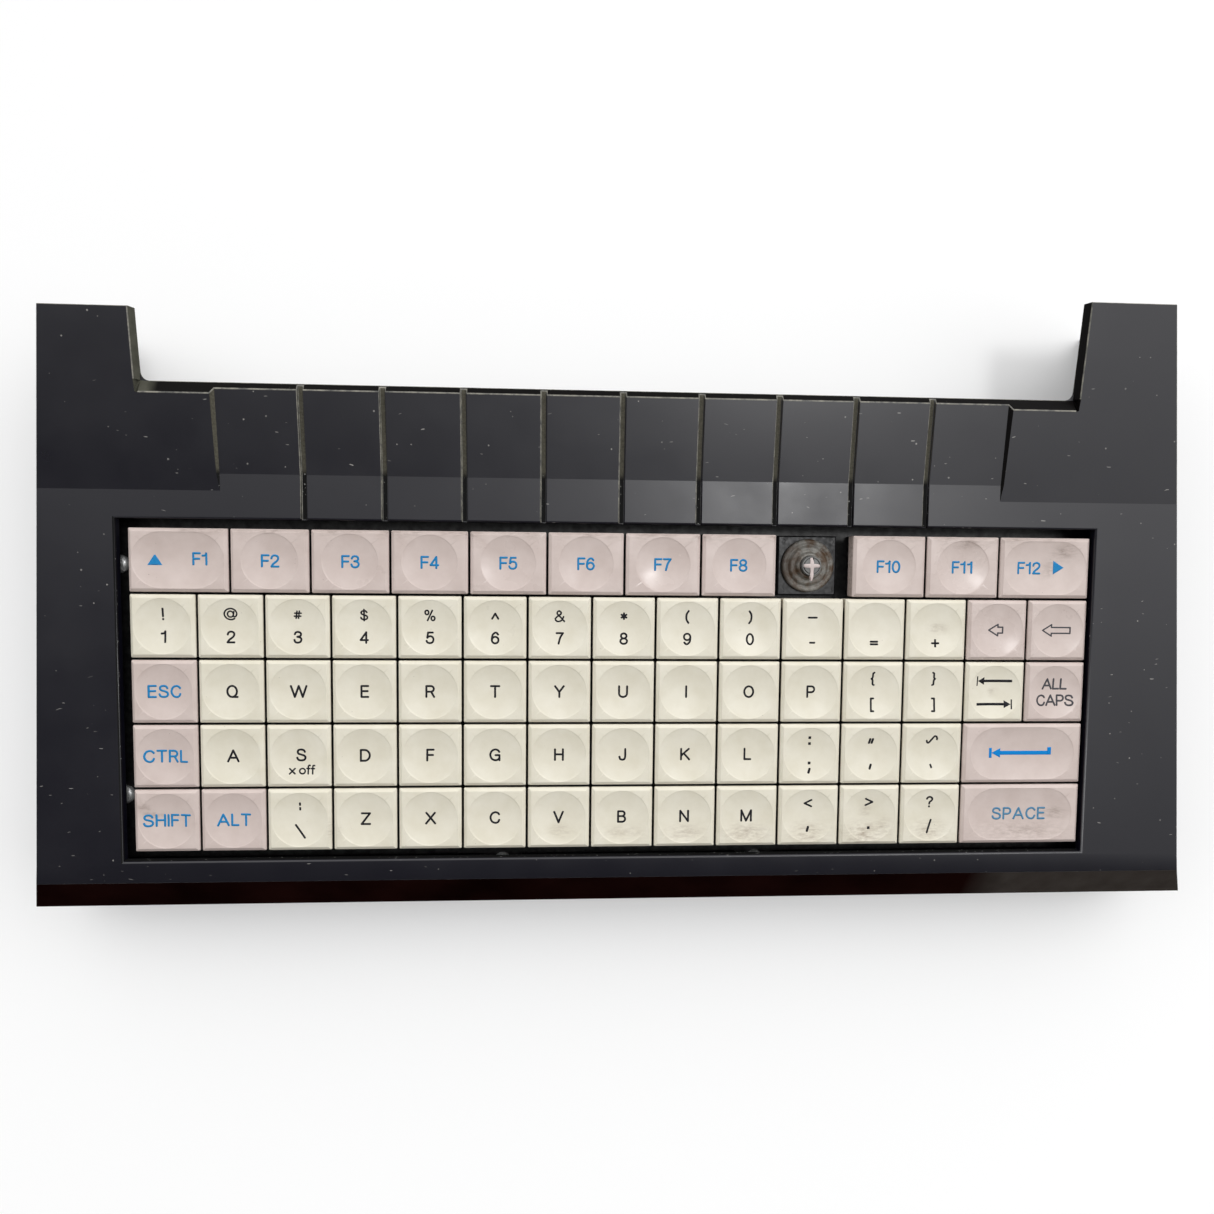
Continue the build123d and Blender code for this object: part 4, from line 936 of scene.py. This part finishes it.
    ",": (0.11, [[(0.11, 0.68), (0.0, 0.30)]]),
    ".": (0.0, []),
    "?": (0.56, [smooth((0, 0.80), (0.10, 0.96), (0.28, 1.0), (0.48, 0.92), (0.55, 0.75), (0.44, 0.58),
                        (0.30, 0.46), (0.27, 0.28)), [(0.27, 0), (0.27, 0.04)]]),
    "/": (0.42, [[(0, -0.12), (0.42, 1.12)]]),
    "|": (0.0, [[(0, 0.18), (0, 0.36)], [(0, 0.64), (0, 0.82)]]),
    "\\": (0.86, [[(0, 1.10), (0.86, -0.10)]]),
}
dots = {":": ((0, 0.2), (0, 0.8)), ";": ((0.08, 0.84),), ".": ((0, 0.5),)}
dot_half = 0.42
stroke_shares = {"#": 0.78, "@": 0.8, "$": 0.85, "%": 0.85, "&": 0.85, ",": 1.25, "'": 1.2, "\"": 1.2,
                 ";": 1.25}
capital_height = 3.85
letter_stroke = 0.61
blue_stroke = 0.62
letter_gap_share = 0.26
close_gap_share = 0.17
figure_gap_share = 0.19
close_words = ("ALL", "CAPS", "x off")
print_rise = 0.02
print_sink = 0.05
sharp_turn = 38
step_length = 0.45


def split_at_turns(points):
    """A line cut where it turns sharply, so that each piece is a soft one."""
    parts = [[points[0]]]
    for before, here, after in zip(points, points[1:], points[2:]):
        parts[-1].append(here)
        first = math.atan2(here[1] - before[1], here[0] - before[0])
        second = math.atan2(after[1] - here[1], after[0] - here[0])
        turn = abs((math.degrees(second - first) + 180) % 360 - 180)
        if turn > sharp_turn:
            parts.append([here])
    parts[-1].append(points[-1])
    return parts


def evened(points):
    """The same line with no run longer than a step and no doubled points."""
    out = [points[0]]
    for here in points[1:]:
        last = out[-1]
        run = math.dist(last, here)
        if run < 0.02:
            continue
        count = max(1, math.ceil(run / step_length))
        for number in range(1, count + 1):
            share = number / count
            out.append((last[0] + (here[0] - last[0]) * share, last[1] + (here[1] - last[1]) * share))
    return out


def add_ribbon(shape, points, width, surface, round_ends=True):
    """A thin printed line that lies on the cap's upper side."""
    line = evened(points)
    if len(line) < 2:
        return
    closed = math.dist(points[0], points[-1]) < 0.02
    sections = []
    for number, (x, y) in enumerate(line):
        if closed:
            before = line[number - 1] if number else line[-2]
            after = line[number + 1] if number + 1 < len(line) else line[1]
        else:
            before = line[max(number - 1, 0)]
            after = line[min(number + 1, len(line) - 1)]
        along = Vector((after[0] - before[0], after[1] - before[1])).normalized()
        sections.append((Vector((x, y)), along, width / 2))
    if round_ends and not closed:
        end_shares = ((0.5, 0.866), (0.87, 0.5))
        first, last = sections[0], sections[-1]
        head = [(first[0] - first[1] * width / 2 * a, first[1], width / 2 * b)
                for a, b in reversed(end_shares)]
        tail = [(last[0] + last[1] * width / 2 * a, last[1], width / 2 * b) for a, b in end_shares]
        sections = head + sections + tail
    rings = []
    for middle, along, half in sections:
        across = Vector((-along.y, along.x)) * half
        left, right = middle + across, middle - across
        rings.append([(left.x, left.y, surface(left.x, left.y) + print_rise),
                      (left.x, left.y, surface(left.x, left.y) - print_sink),
                      (right.x, right.y, surface(right.x, right.y) - print_sink),
                      (right.x, right.y, surface(right.x, right.y) + print_rise)])
    if closed:
        shape.loft(rings[:-1], closed_loop=True)
    else:
        shape.loft(rings)


def add_plate(shape, corners, surface):
    """A thin printed area with straight sides, laid on the cap in narrow strips."""
    low = min(x for x, _ in corners)
    high = max(x for x, _ in corners)
    count = max(2, math.ceil((high - low) / 0.4))
    rings = []
    for number in range(count + 1):
        x = low + (high - low) * number / count
        x = min(max(x, low + 0.001), high - 0.001)
        crossings = []
        for a, b in zip(corners, corners[1:] + corners[:1]):
            if (a[0] - x) * (b[0] - x) < 0:
                crossings.append(a[1] + (b[1] - a[1]) * (x - a[0]) / (b[0] - a[0]))
        bottom, top = min(crossings), max(crossings)
        ys = [bottom + (top - bottom) * k / 6 for k in range(7)]
        rings.append([(x, y, surface(x, y) + print_rise) for y in ys]
                     + [(x, y, surface(x, y) - print_sink) for y in reversed(ys)])
    shape.loft(rings)


def gap_after(text, number):
    """Share of the height left between a letter and the next one."""
    if text in close_words:
        return close_gap_share
    if text[number] == "F" and text[number + 1].isdigit():
        return figure_gap_share
    return letter_gap_share


def add_text(shape, text, x, y, height, stroke_width, surface):
    """A line of lettering with its middle at x, y."""
    unit = height - stroke_width
    gaps = [gap_after(text, number) * height for number in range(len(text) - 1)] + [0]
    widths = [glyphs[letter][0] * unit for letter in text]
    cursor = x - (sum(widths) + sum(gaps)) / 2
    for letter, width, gap in zip(text, widths, gaps):
        for stroke in glyphs[letter][1]:
            points = [(cursor + px * unit, y + (py - 0.5) * unit) for px, py in stroke]
            for part in split_at_turns(points):
                add_ribbon(shape, part, stroke_width * stroke_shares.get(letter, 1.0), surface)
        for px, py in dots.get(letter, ()):
            dot_x, dot_y = cursor + px * unit, y + (py - 0.5) * unit
            add_plate(shape, [(dot_x + sx * dot_half, dot_y + sy * dot_half)
                              for sx, sy in ((-1, -1), (1, -1), (1, 1), (-1, 1))], surface)
        cursor += width + gap


def add_sign(shape, sign, x, y, surface):
    """Arrows and triangles."""
    def at(*corners):
        return [(x + px, y + py) for px, py in corners]

    if sign == "triangle_up":
        add_plate(shape, at((-2.05, -1.65), (2.05, -1.65), (0, 1.65)), surface)
    elif sign == "triangle_right":
        add_plate(shape, at((-1.7, -2.1), (1.7, 0), (-1.7, 2.1)), surface)
    elif sign in ("short_arrow", "long_arrow"):
        tail = 2.1 if sign == "short_arrow" else 4.3
        head = -2.3 if sign == "short_arrow" else -4.4
        neck = head + 2.9
        corners = at((head, 0), (neck, 1.75), (neck, 0.9), (tail, 0.9), (tail, -0.9), (neck, -0.9),
                     (neck, -1.75), (head, 0))
        for a, b in zip(corners, corners[1:]):
            add_ribbon(shape, [a, b], 0.45, surface)
    elif sign in ("tab_left", "tab_right"):
        way = -1 if sign == "tab_left" else 1
        add_ribbon(shape, at((way * 5.5, -1.5), (way * 5.5, 1.5)), 0.4, surface, False)
        add_ribbon(shape, at((-way * 5.5, 0), (way * 4.0, 0)), 0.8, surface, False)
        add_plate(shape, at((way * 5.3, 0), (way * 3.2, 1.2), (way * 3.2, -1.2)), surface)
    elif sign == "enter_arrow":
        add_plate(shape, at((-10.2, -1.55), (-9.3, -1.55), (-9.3, 1.55), (-10.2, 1.55)), surface)
        add_plate(shape, at((-9.4, 0), (-6.6, 1.5), (-6.6, -1.5)), surface)
        add_plate(shape, at((-6.7, -0.62), (9.6, -0.62), (9.6, 0.62), (-6.7, 0.62)), surface)
        add_plate(shape, at((8.4, -0.62), (9.6, -0.62), (9.6, 1.75), (8.4, 1.75)), surface)


blue_names = {"f%d_key" % n for n in range(1, 13)}
blue_names |= {"esc_key", "ctrl_key", "enter_key", "shift_key", "alt_key", "space_key"}
own_blues = {"enter_key": legend_bright, "space_key": legend_faded}
signs = {"triangle_up", "triangle_right", "short_arrow", "long_arrow", "tab_left", "tab_right", "enter_arrow"}

# Soiled places on the caps: x, y, half width, half depth, how dark
soiled = (
    (53.8, -68.4, 5.0, 3.2, 0.75), (71.4, -68.8, 6.0, 3.6, 0.85), (71.7, -61.6, 1.6, 1.8, 0.5),
    (77.0, -66.6, 3.0, 2.6, 0.6), (91.6, -67.8, 5.0, 2.8, 0.7), (131.5, -62.6, 3.4, 2.0, 0.7),
    (121.0, -68.3, 14.0, 3.0, 0.6), (101.0, 21.0, 4.6, 1.8, 0.75), (105.3, 20.8, 1.6, 1.0, 0.6),
    (131.2, 18.7, 3.4, 2.6, 0.75), (126.5, 13.0, 0.9, 2.4, 0.6), (-143.6, -58.5, 1.8, 0.8, 0.9),
    (-141.0, -61.0, 2.6, 0.6, 0.9), (92.6, -5.2, 2.6, 1.3, 0.6), (110.4, -24.4, 1.0, 0.8, 0.7),
    (-22.0, -66.8, 3.4, 2.0, 0.45), (-3.0, -67.4, 5.4, 1.9, 0.5), (15.6, -67.6, 5.6, 2.4, 0.6),
    (34.6, -68.0, 6.0, 2.8, 0.75), (-90.0, -66.5, 0.6, 3.0, 0.6), (-87.2, -67.4, 0.6, 2.6, 0.6),
)
top_grime_y = 22.1
top_grime_half = 0.6
spot_strength = 1.5

# Painted shade: caps below these heights are painted dark as if in the shade of their gaps, nearly black
# below the first and brownish below the second, but for the ones round the bare switch, which take a weaker
# brownish tone
skirt_shade = ((32.1, 4.0), (32.3, 1.5))
open_skirt_shade = 1.0
open_skirt_reach = 16


def dirt_and_shade_at(x, y, z):
    """How soiled a point on the caps is, and how much painted shade it takes on the skirts."""
    # Painted shade on the skirts, weaker round the bare switch.
    for low, amount in skirt_shade:
        if z < low:
            near = math.hypot(x - bare_x, y - bare_y) < open_skirt_reach
            return open_skirt_shade if near else amount
    value = 0.0
    for sx, sy, rx, ry, amount in soiled:
        away = ((x - sx) / rx) ** 2 + ((y - sy) / ry) ** 2
        value = max(value, spot_strength * amount * math.exp(-away))
    if z > cap_edge_z and -132 < x < 128:
        ridge = math.exp(-((y - top_grime_y) / top_grime_half) ** 2)
        value = max(value, 1.5 * ridge * (0.55 + 0.45 * math.sin(x * 0.55) * math.cos(x * 0.21)))
    return value


# Caps that fingers have polished: middle of the cap, how much
polished = (
    (-79.7, 13.5, 0.6), (-37.8, 13.5, 0.7), (7.93, 13.5, 1.0), (-60.65, -5.55, 0.6), (-41.6, -5.55, 0.6),
    (34.6, -5.55, 0.6), (99.37, 13.5, 0.8), (110.8, -5.55, 0.8), (129.85, -5.55, 0.6), (129.85, -24.6, 0.6),
    (120.3, -43.65, 0.5), (-132.1, 13.5, 0.5),
)
polish_reach = 11.0


def polish_at(x, y, z):
    """How polished a point on the caps is."""
    for px, py, amount in polished:
        if max(abs(x - px), abs(y - py)) < polish_reach:
            return amount
    return 0.0


def plunger_of(name):
    for tail in ("_keys", "_key", "_stem"):
        if name.endswith(tail):
            return name[:-len(tail)] + "_plunger"


def make_keys():
    """One cap piece and one legend piece for each moving body."""
    groups = {}
    for key in keys:
        if key[2]:
            groups.setdefault(key[0], []).append(key)
    for name, group in groups.items():
        colour = group[0][2]
        caps = Shape()
        prints = Shape()
        for _, units, _, legends, x, y in group:
            add_cap(caps, units, x, y)
            half_run = dish_half_run(units)

            def surface(px, py):
                return cap_top(px - x, py - y, half_run)

            for text, dx, dy, share in legends:
                if text in signs:
                    add_sign(prints, text, x + dx, y + dy, surface)
                else:
                    stroke = (blue_stroke if name in blue_names else letter_stroke) * min(1.0, share)
                    add_text(prints, text, x + dx, y + dy, capital_height * share, stroke, surface)
        body = plunger_of(name)
        cap = caps.piece(name.replace("_key", "_cap"), [cap_rose if colour == "rose" else cap_cream], dirt_and_shade_at,
                         polish_at)
        even_shading(cap, 40)
        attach(cap, body)
        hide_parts(name)
        if name in blue_names:
            finish, slot = own_blues.get(name, legend_blue), "legend_blue"
        elif colour == "rose":
            finish, slot = legend_grey, "legend_dark"
        else:
            finish, slot = legend_dark, "legend_dark"
        legend = prints.piece(name.replace("_keys", "").replace("_key", "") + "_legend", [finish])
        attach(legend, body)


make_keys()


# Repeated small parts, placed by one node tree
def spread(name, unit, spots, finish, turn_seed=0, turn_range=0.0):
    """Copies of a unit on every spot, as one plain mesh."""
    tree = bpy.data.node_groups.new(name + " places", "GeometryNodeTree")
    tree.interface.new_socket("Geometry", in_out="INPUT", socket_type="NodeSocketGeometry")
    tree.interface.new_socket("Geometry", in_out="OUTPUT", socket_type="NodeSocketGeometry")
    named = {}
    for label, kind, value in (("Unit", "NodeSocketObject", unit), ("Finish", "NodeSocketMaterial", finish),
                               ("Turn seed", "NodeSocketInt", turn_seed),
                               ("Turn range", "NodeSocketFloat", turn_range)):
        named[tree.interface.new_socket(label, in_out="INPUT", socket_type=kind).identifier] = value
    nodes, links = tree.nodes, tree.links
    start = nodes.new("NodeGroupInput")
    end = nodes.new("NodeGroupOutput")
    info = nodes.new("GeometryNodeObjectInfo")
    turn = nodes.new("FunctionNodeRandomValue")
    around = nodes.new("ShaderNodeCombineXYZ")
    copies = nodes.new("GeometryNodeInstanceOnPoints")
    real = nodes.new("GeometryNodeRealizeInstances")
    finished = nodes.new("GeometryNodeSetMaterial")
    links.new(start.outputs["Unit"], info.inputs["Object"])
    links.new(start.outputs["Turn seed"], turn.inputs["Seed"])
    links.new(start.outputs["Turn range"], turn.inputs[3])
    links.new(turn.outputs[1], around.inputs["Z"])
    links.new(around.outputs["Vector"], copies.inputs["Rotation"])
    links.new(start.outputs["Geometry"], copies.inputs["Points"])
    links.new(info.outputs["Geometry"], copies.inputs["Instance"])
    links.new(copies.outputs["Instances"], real.inputs["Geometry"])
    links.new(real.outputs["Geometry"], finished.inputs["Geometry"])
    links.new(start.outputs["Finish"], finished.inputs["Material"])
    links.new(finished.outputs["Geometry"], end.inputs["Geometry"])
    points = bpy.data.meshes.new(name + " spots")
    points.from_pydata([(x * MM, y * MM, 0) for x, y in spots], [], [])
    host = placed(name + " spots", points)
    modifier = host.modifiers.new("places", "NODES")
    modifier.node_group = tree
    for identifier, value in named.items():
        modifier[identifier] = value
    made = placed(name, baked(host))
    bpy.data.objects.remove(host)
    bpy.data.objects.remove(unit)
    return made


# Screw heads of the switch plate
screw_spots = [(-153.9, 12.1), (-153.9, -58.0), (150.1, 12.1), (150.1, -58.0)]
screw_spots += [(x, -24.6 + y) for x in (-40.0, 40.0) for y in (-55.4, 55.4)]
plate_top_z = 20.9
head_radius = 2.7
head_height = 2.0
slot_half_width = 0.35
slot_floor = 1.1
cutter_reach = 4
square = ((-1, -1), (1, -1), (1, 1), (-1, 1))


def add_screw(shape, z):
    """A round head, still without its slot, and its shank."""
    sides = 32
    shape.lathe(0, 0, ((1.25, z - 10.0), (1.25, z + 0.05)), 12)
    profile = ((head_radius - 0.1, z), (head_radius, z + 0.12), (head_radius, z + 0.75))
    rings = []
    for radius, height in profile:
        rings.append([(radius * math.cos(2 * math.pi * i / sides), radius * math.sin(2 * math.pi * i / sides),
                       height) for i in range(sides)])
    for share in (0.97, 0.86, 0.7, 0.5, 0.25):
        ring = []
        height = z + 0.75 + (head_height - 0.75) * math.sqrt(1 - share * share)
        for i in range(sides):
            x = head_radius * share * math.cos(2 * math.pi * i / sides)
            y = head_radius * share * math.sin(2 * math.pi * i / sides)
            ring.append((x, y, height))
        rings.append(ring)
    shape.loft(rings)


def cut_slot(made, z):
    """The driver slot, cut through the top of the head."""
    cutter = Shape()
    cutter.loft([[(sx * cutter_reach, sy * slot_half_width, height) for sx, sy in square]
                 for height in (z + slot_floor, z + cutter_reach)])
    cut_away(made, cutter, screw_steel)


unit = Shape()
add_screw(unit, plate_top_z)
unit = unit.piece("screw unit", [screw_steel])
cut_slot(unit, plate_top_z)
screws = spread("plate_screw_heads", unit, screw_spots, screw_steel, 7, math.pi)
screws.data.set_sharp_from_angle(angle=math.radians(35))
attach(screws, "panel")
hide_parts("plate_screws")

# Low boots under the caps
low_boot = ((8.0, 24.95), (8.2, 25.3), (7.9, 25.9), (6.9, 26.2), (6.2, 25.9), (5.5, 26.3), (4.7, 27.0),
            (4.0, 27.2), (3.25, 27.2), (3.15, 26.6), (3.6, 26.3), (4.4, 26.1), (5.4, 25.7), (6.4, 25.3),
            (7.2, 25.1), (7.4, 24.95))
unit = Shape()
unit.lathe(0, 0, low_boot, 20, closed_loop=True)
unit = unit.piece("boot unit", [rubber])
capped = [(x, y) for name, _, colour, _, x, y in keys if colour]
boots = spread("low_boots", unit, capped, rubber)
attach(boots, "panel")
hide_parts("rubber_boots")

# Tall boot of the bare switch, with its folds
boot_folds = ((8.05, 24.92), (8.2, 25.2), (8.18, 25.7), (7.95, 26.15), (7.55, 26.4), (7.1, 26.42),
              (6.75, 26.25), (6.5, 26.1), (6.25, 26.2), (6.0, 26.55), (5.7, 26.95), (5.3, 27.15),
              (4.9, 27.1), (4.6, 26.95),
              (4.4, 27.0), (4.2, 27.3), (4.0, 27.75), (3.8, 28.2), (3.6, 28.42), (3.3, 28.48), (3.1, 28.4),
              (3.05, 28.1), (3.05, 27.0), (3.4, 26.6), (4.2, 26.5), (5.2, 26.6), (5.9, 26.0), (6.4, 25.6),
              (7.0, 25.8), (7.5, 25.6), (7.6, 24.92))
boot = Shape()
boot.lathe(bare_x, bare_y, boot_folds, 64, closed_loop=True)
boot = boot.piece("f9_bellows", [rubber])
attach(boot, "panel")
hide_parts("f9_boot")
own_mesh(boot)

# Bare stem with its cross slot and the broken stub of the lost cap
slot_half_length = 2.6
slot_half = 0.625
stem_top_z = 30.3
slot_floor_z = 27.3


def stem_with_slot():
    """The round stem with a cross slot in its top and the spring's pocket in its foot."""
    shape = Shape()
    top = ((0, -0.2), (0.15, 0), (0.42, 0), (0.5, -0.5), (0.66, -0.5), (0.74, 0), (2.0, 0.02))
    stem_top = tuple((stem_radius - inset, stem_top_z + rise) for inset, rise in top)
    shape.lathe(bare_x, bare_y, stem_foot + stem_top, 48)
    made = shape.piece("f9_post", [stem_grey])
    for hx, hy in ((slot_half_length, slot_half), (slot_half, slot_half_length)):
        cutter = Shape()
        cutter.loft([[(bare_x + sx * hx, bare_y + sy * hy, z) for sx, sy in square]
                     for z in (slot_floor_z, stem_top_z + 2)])
        cut_away(made, cutter, stem_grey)
    made.data.set_sharp_from_angle(angle=math.radians(30))
    return made


post = stem_with_slot()
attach(post, "f9_plunger")
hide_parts("f9_stem")


def stub_arm(shape, stations):
    """A rough bar along its stations: place along, half width, top height."""
    rings = []
    for (x, y), (ux, uy), half, top in stations:
        ax, ay = -uy * half, ux * half
        low = slot_floor_z + 0.2
        rings.append([(bare_x + x + ax, bare_y + y + ay, top - 0.12),
                      (bare_x + x + ax, bare_y + y + ay, max(low, top - 1.2)),
                      (bare_x + x - ax, bare_y + y - ay, max(low, top - 1.2)),
                      (bare_x + x - ax, bare_y + y - ay, top - 0.12),
                      (bare_x + x - ax * 0.55, bare_y + y - ay * 0.55, top + 0.05),
                      (bare_x + x + ax * 0.55, bare_y + y + ay * 0.55, top + 0.05)])
    shape.loft(rings)


stub = Shape()
stub_arm(stub, [((-2.55, 0.1), (1, 0), 0.42, 30.0), ((-2.0, 0.05), (1, 0), 0.56, 30.35),
                ((-1.2, 0.0), (1, 0), 0.60, 30.55), ((-0.4, 0.0), (1, 0), 0.66, 30.7),
                ((0.5, 0.0), (1, 0), 0.62, 30.65), ((1.4, 0.05), (1, 0), 0.56, 30.5),
                ((2.1, 0.0), (1, 0), 0.52, 30.4), ((2.55, 0.0), (1, 0), 0.40, 30.1)])
stub_arm(stub, [((-0.05, 2.58), (0, -1), 0.30, 30.0), ((-0.1, 2.1), (0, -1), 0.42, 30.4),
                ((0.0, 1.2), (0, -1), 0.55, 30.6), ((0.0, 0.3), (0, -1), 0.60, 30.75),
                ((0.0, -0.6), (0, -1), 0.56, 30.7), ((0.05, -1.6), (0, -1), 0.44, 30.55),
                ((0.0, -2.4), (0, -1), 0.52, 30.6), ((0.0, -3.2), (0, -1), 0.50, 30.6),
                ((-0.05, -3.9), (0, -1), 0.36, 30.55), ((-0.05, -4.5), (0, -1), 0.22, 30.45)])
stub = stub.piece("f9_stub", [stub_pink])
even_shading(stub, 40)
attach(stub, "f9_plunger")


# Floor, light and camera
def white_floor():
    made = Finish("white floor", (0.88, 0.88, 0.88), 1.0, specular=0.0)
    tree = made.tree
    seen = tree.nodes.new("ShaderNodeLightPath")
    direct = made.sum("MAXIMUM", seen.outputs["Is Camera Ray"],
                      made.sum("MAXIMUM", seen.outputs["Is Glossy Ray"], seen.outputs["Is Transmission Ray"]))
    glow = tree.nodes.new("ShaderNodeEmission")
    glow.inputs["Color"].default_value = (1, 1, 1, 1)
    tree.links.new(made.sum("MULTIPLY", direct, 0.08), glow.inputs["Strength"])
    both = tree.nodes.new("ShaderNodeAddShader")
    tree.links.new(made.shader.outputs[0], both.inputs[0])
    tree.links.new(glow.outputs[0], both.inputs[1])
    tree.links.new(both.outputs[0], tree.nodes["Material Output"].inputs["Surface"])
    return made.material


floor_half = 3.0
floor_mesh = bpy.data.meshes.new("floor")
floor_mesh.from_pydata([(sx * floor_half, sy * floor_half, 0) for sx, sy in square], [], [(0, 1, 2, 3)])
floor_mesh.materials.append(white_floor())
floor = placed("floor", floor_mesh)


def soft_lamp(name, place, aim, width, height, radiance):
    """A softbox of a given brightness."""
    data = bpy.data.lights.new(name, "AREA")
    data.shape = "RECTANGLE"
    data.size = width
    data.size_y = height
    data.energy = radiance * math.pi * width * height
    lamp = placed(name, data)
    lamp.location = place
    lamp.rotation_euler = (Vector(aim) - Vector(place)).to_track_quat("-Z", "Y").to_euler()


soft_lamp("key", (0.42, 0.24, 1.42), (0.0, 0.0, 0.0), 0.28, 0.28, 16.0)

# Sky of the studio: bright behind and to the right, dim in front, with windows at the left and at the back
world = bpy.data.worlds.new("studio")
bpy.context.scene.world = world
world.use_nodes = True
sky = world.node_tree


def sky_node(kind, inputs, **settings):
    return add_node(sky, kind, inputs, settings)


def sky_range(value, low, high, new_low=0.0, new_high=1.0, kind="SMOOTHSTEP"):
    return sky_node("ShaderNodeMapRange", {
        "Value": value, "From Min": low, "From Max": high,
        "To Min": new_low, "To Max": new_high}, interpolation_type=kind).outputs["Result"]


def sky_sum(operation, a, b):
    return sky_node("ShaderNodeMath", {0: a, 1: b}, operation=operation).outputs["Value"]


way = sky.nodes.new("ShaderNodeTexCoord").outputs["Generated"]
parts = sky_node("ShaderNodeSeparateXYZ", {"Vector": way}).outputs
slanted = sky_node("ShaderNodeVectorMath", {0: way, 1: (0.4, 1.0, 0.0)},
                   operation="DOT_PRODUCT").outputs["Value"]
ceiling = sky_sum("MULTIPLY", sky_range(parts["X"], 0.2, 0.5, 0.86, 1.42, "LINEAR"),
                  sky_range(parts["Y"], -0.28, 0.05, 0.5, 1.0, "LINEAR"))
ceiling = sky_sum("ADD", sky_sum("MULTIPLY", sky_range(slanted, -0.26, -0.11), ceiling),
                  sky_range(slanted, -0.26, -0.11, 0.13, 0.0))
window = sky_sum("MULTIPLY", sky_range(parts["X"], -0.92, -0.76, 1.6, 0.0), sky_range(parts["Y"], -0.6, 0.2))
window = sky_sum("ADD", window, sky_range(parts["Y"], 0.15, 0.42, 0.0, 0.8))
level = sky_sum("MULTIPLY", sky_sum("ADD", ceiling, window), sky_range(parts["Z"], 0.0, 0.45, 0.25, 1.0))
sky.links.new(level, sky.nodes["Background"].inputs["Strength"])
sky.nodes["Background"].inputs["Color"].default_value = (1, 1, 1, 1)

camera_data = bpy.data.cameras.new("camera")
camera_data.sensor_width = film_width
camera_data.lens = focal_pixels * film_width / picture_side
camera_data.clip_start = 0.01
camera = placed("camera", camera_data)
camera.location = [v * MM for v in camera_place]
camera.rotation_euler = Euler([math.radians(a) for a in camera_turn], "XYZ")
bpy.context.scene.camera = camera
bpy.context.scene.view_settings.view_transform = "Standard"
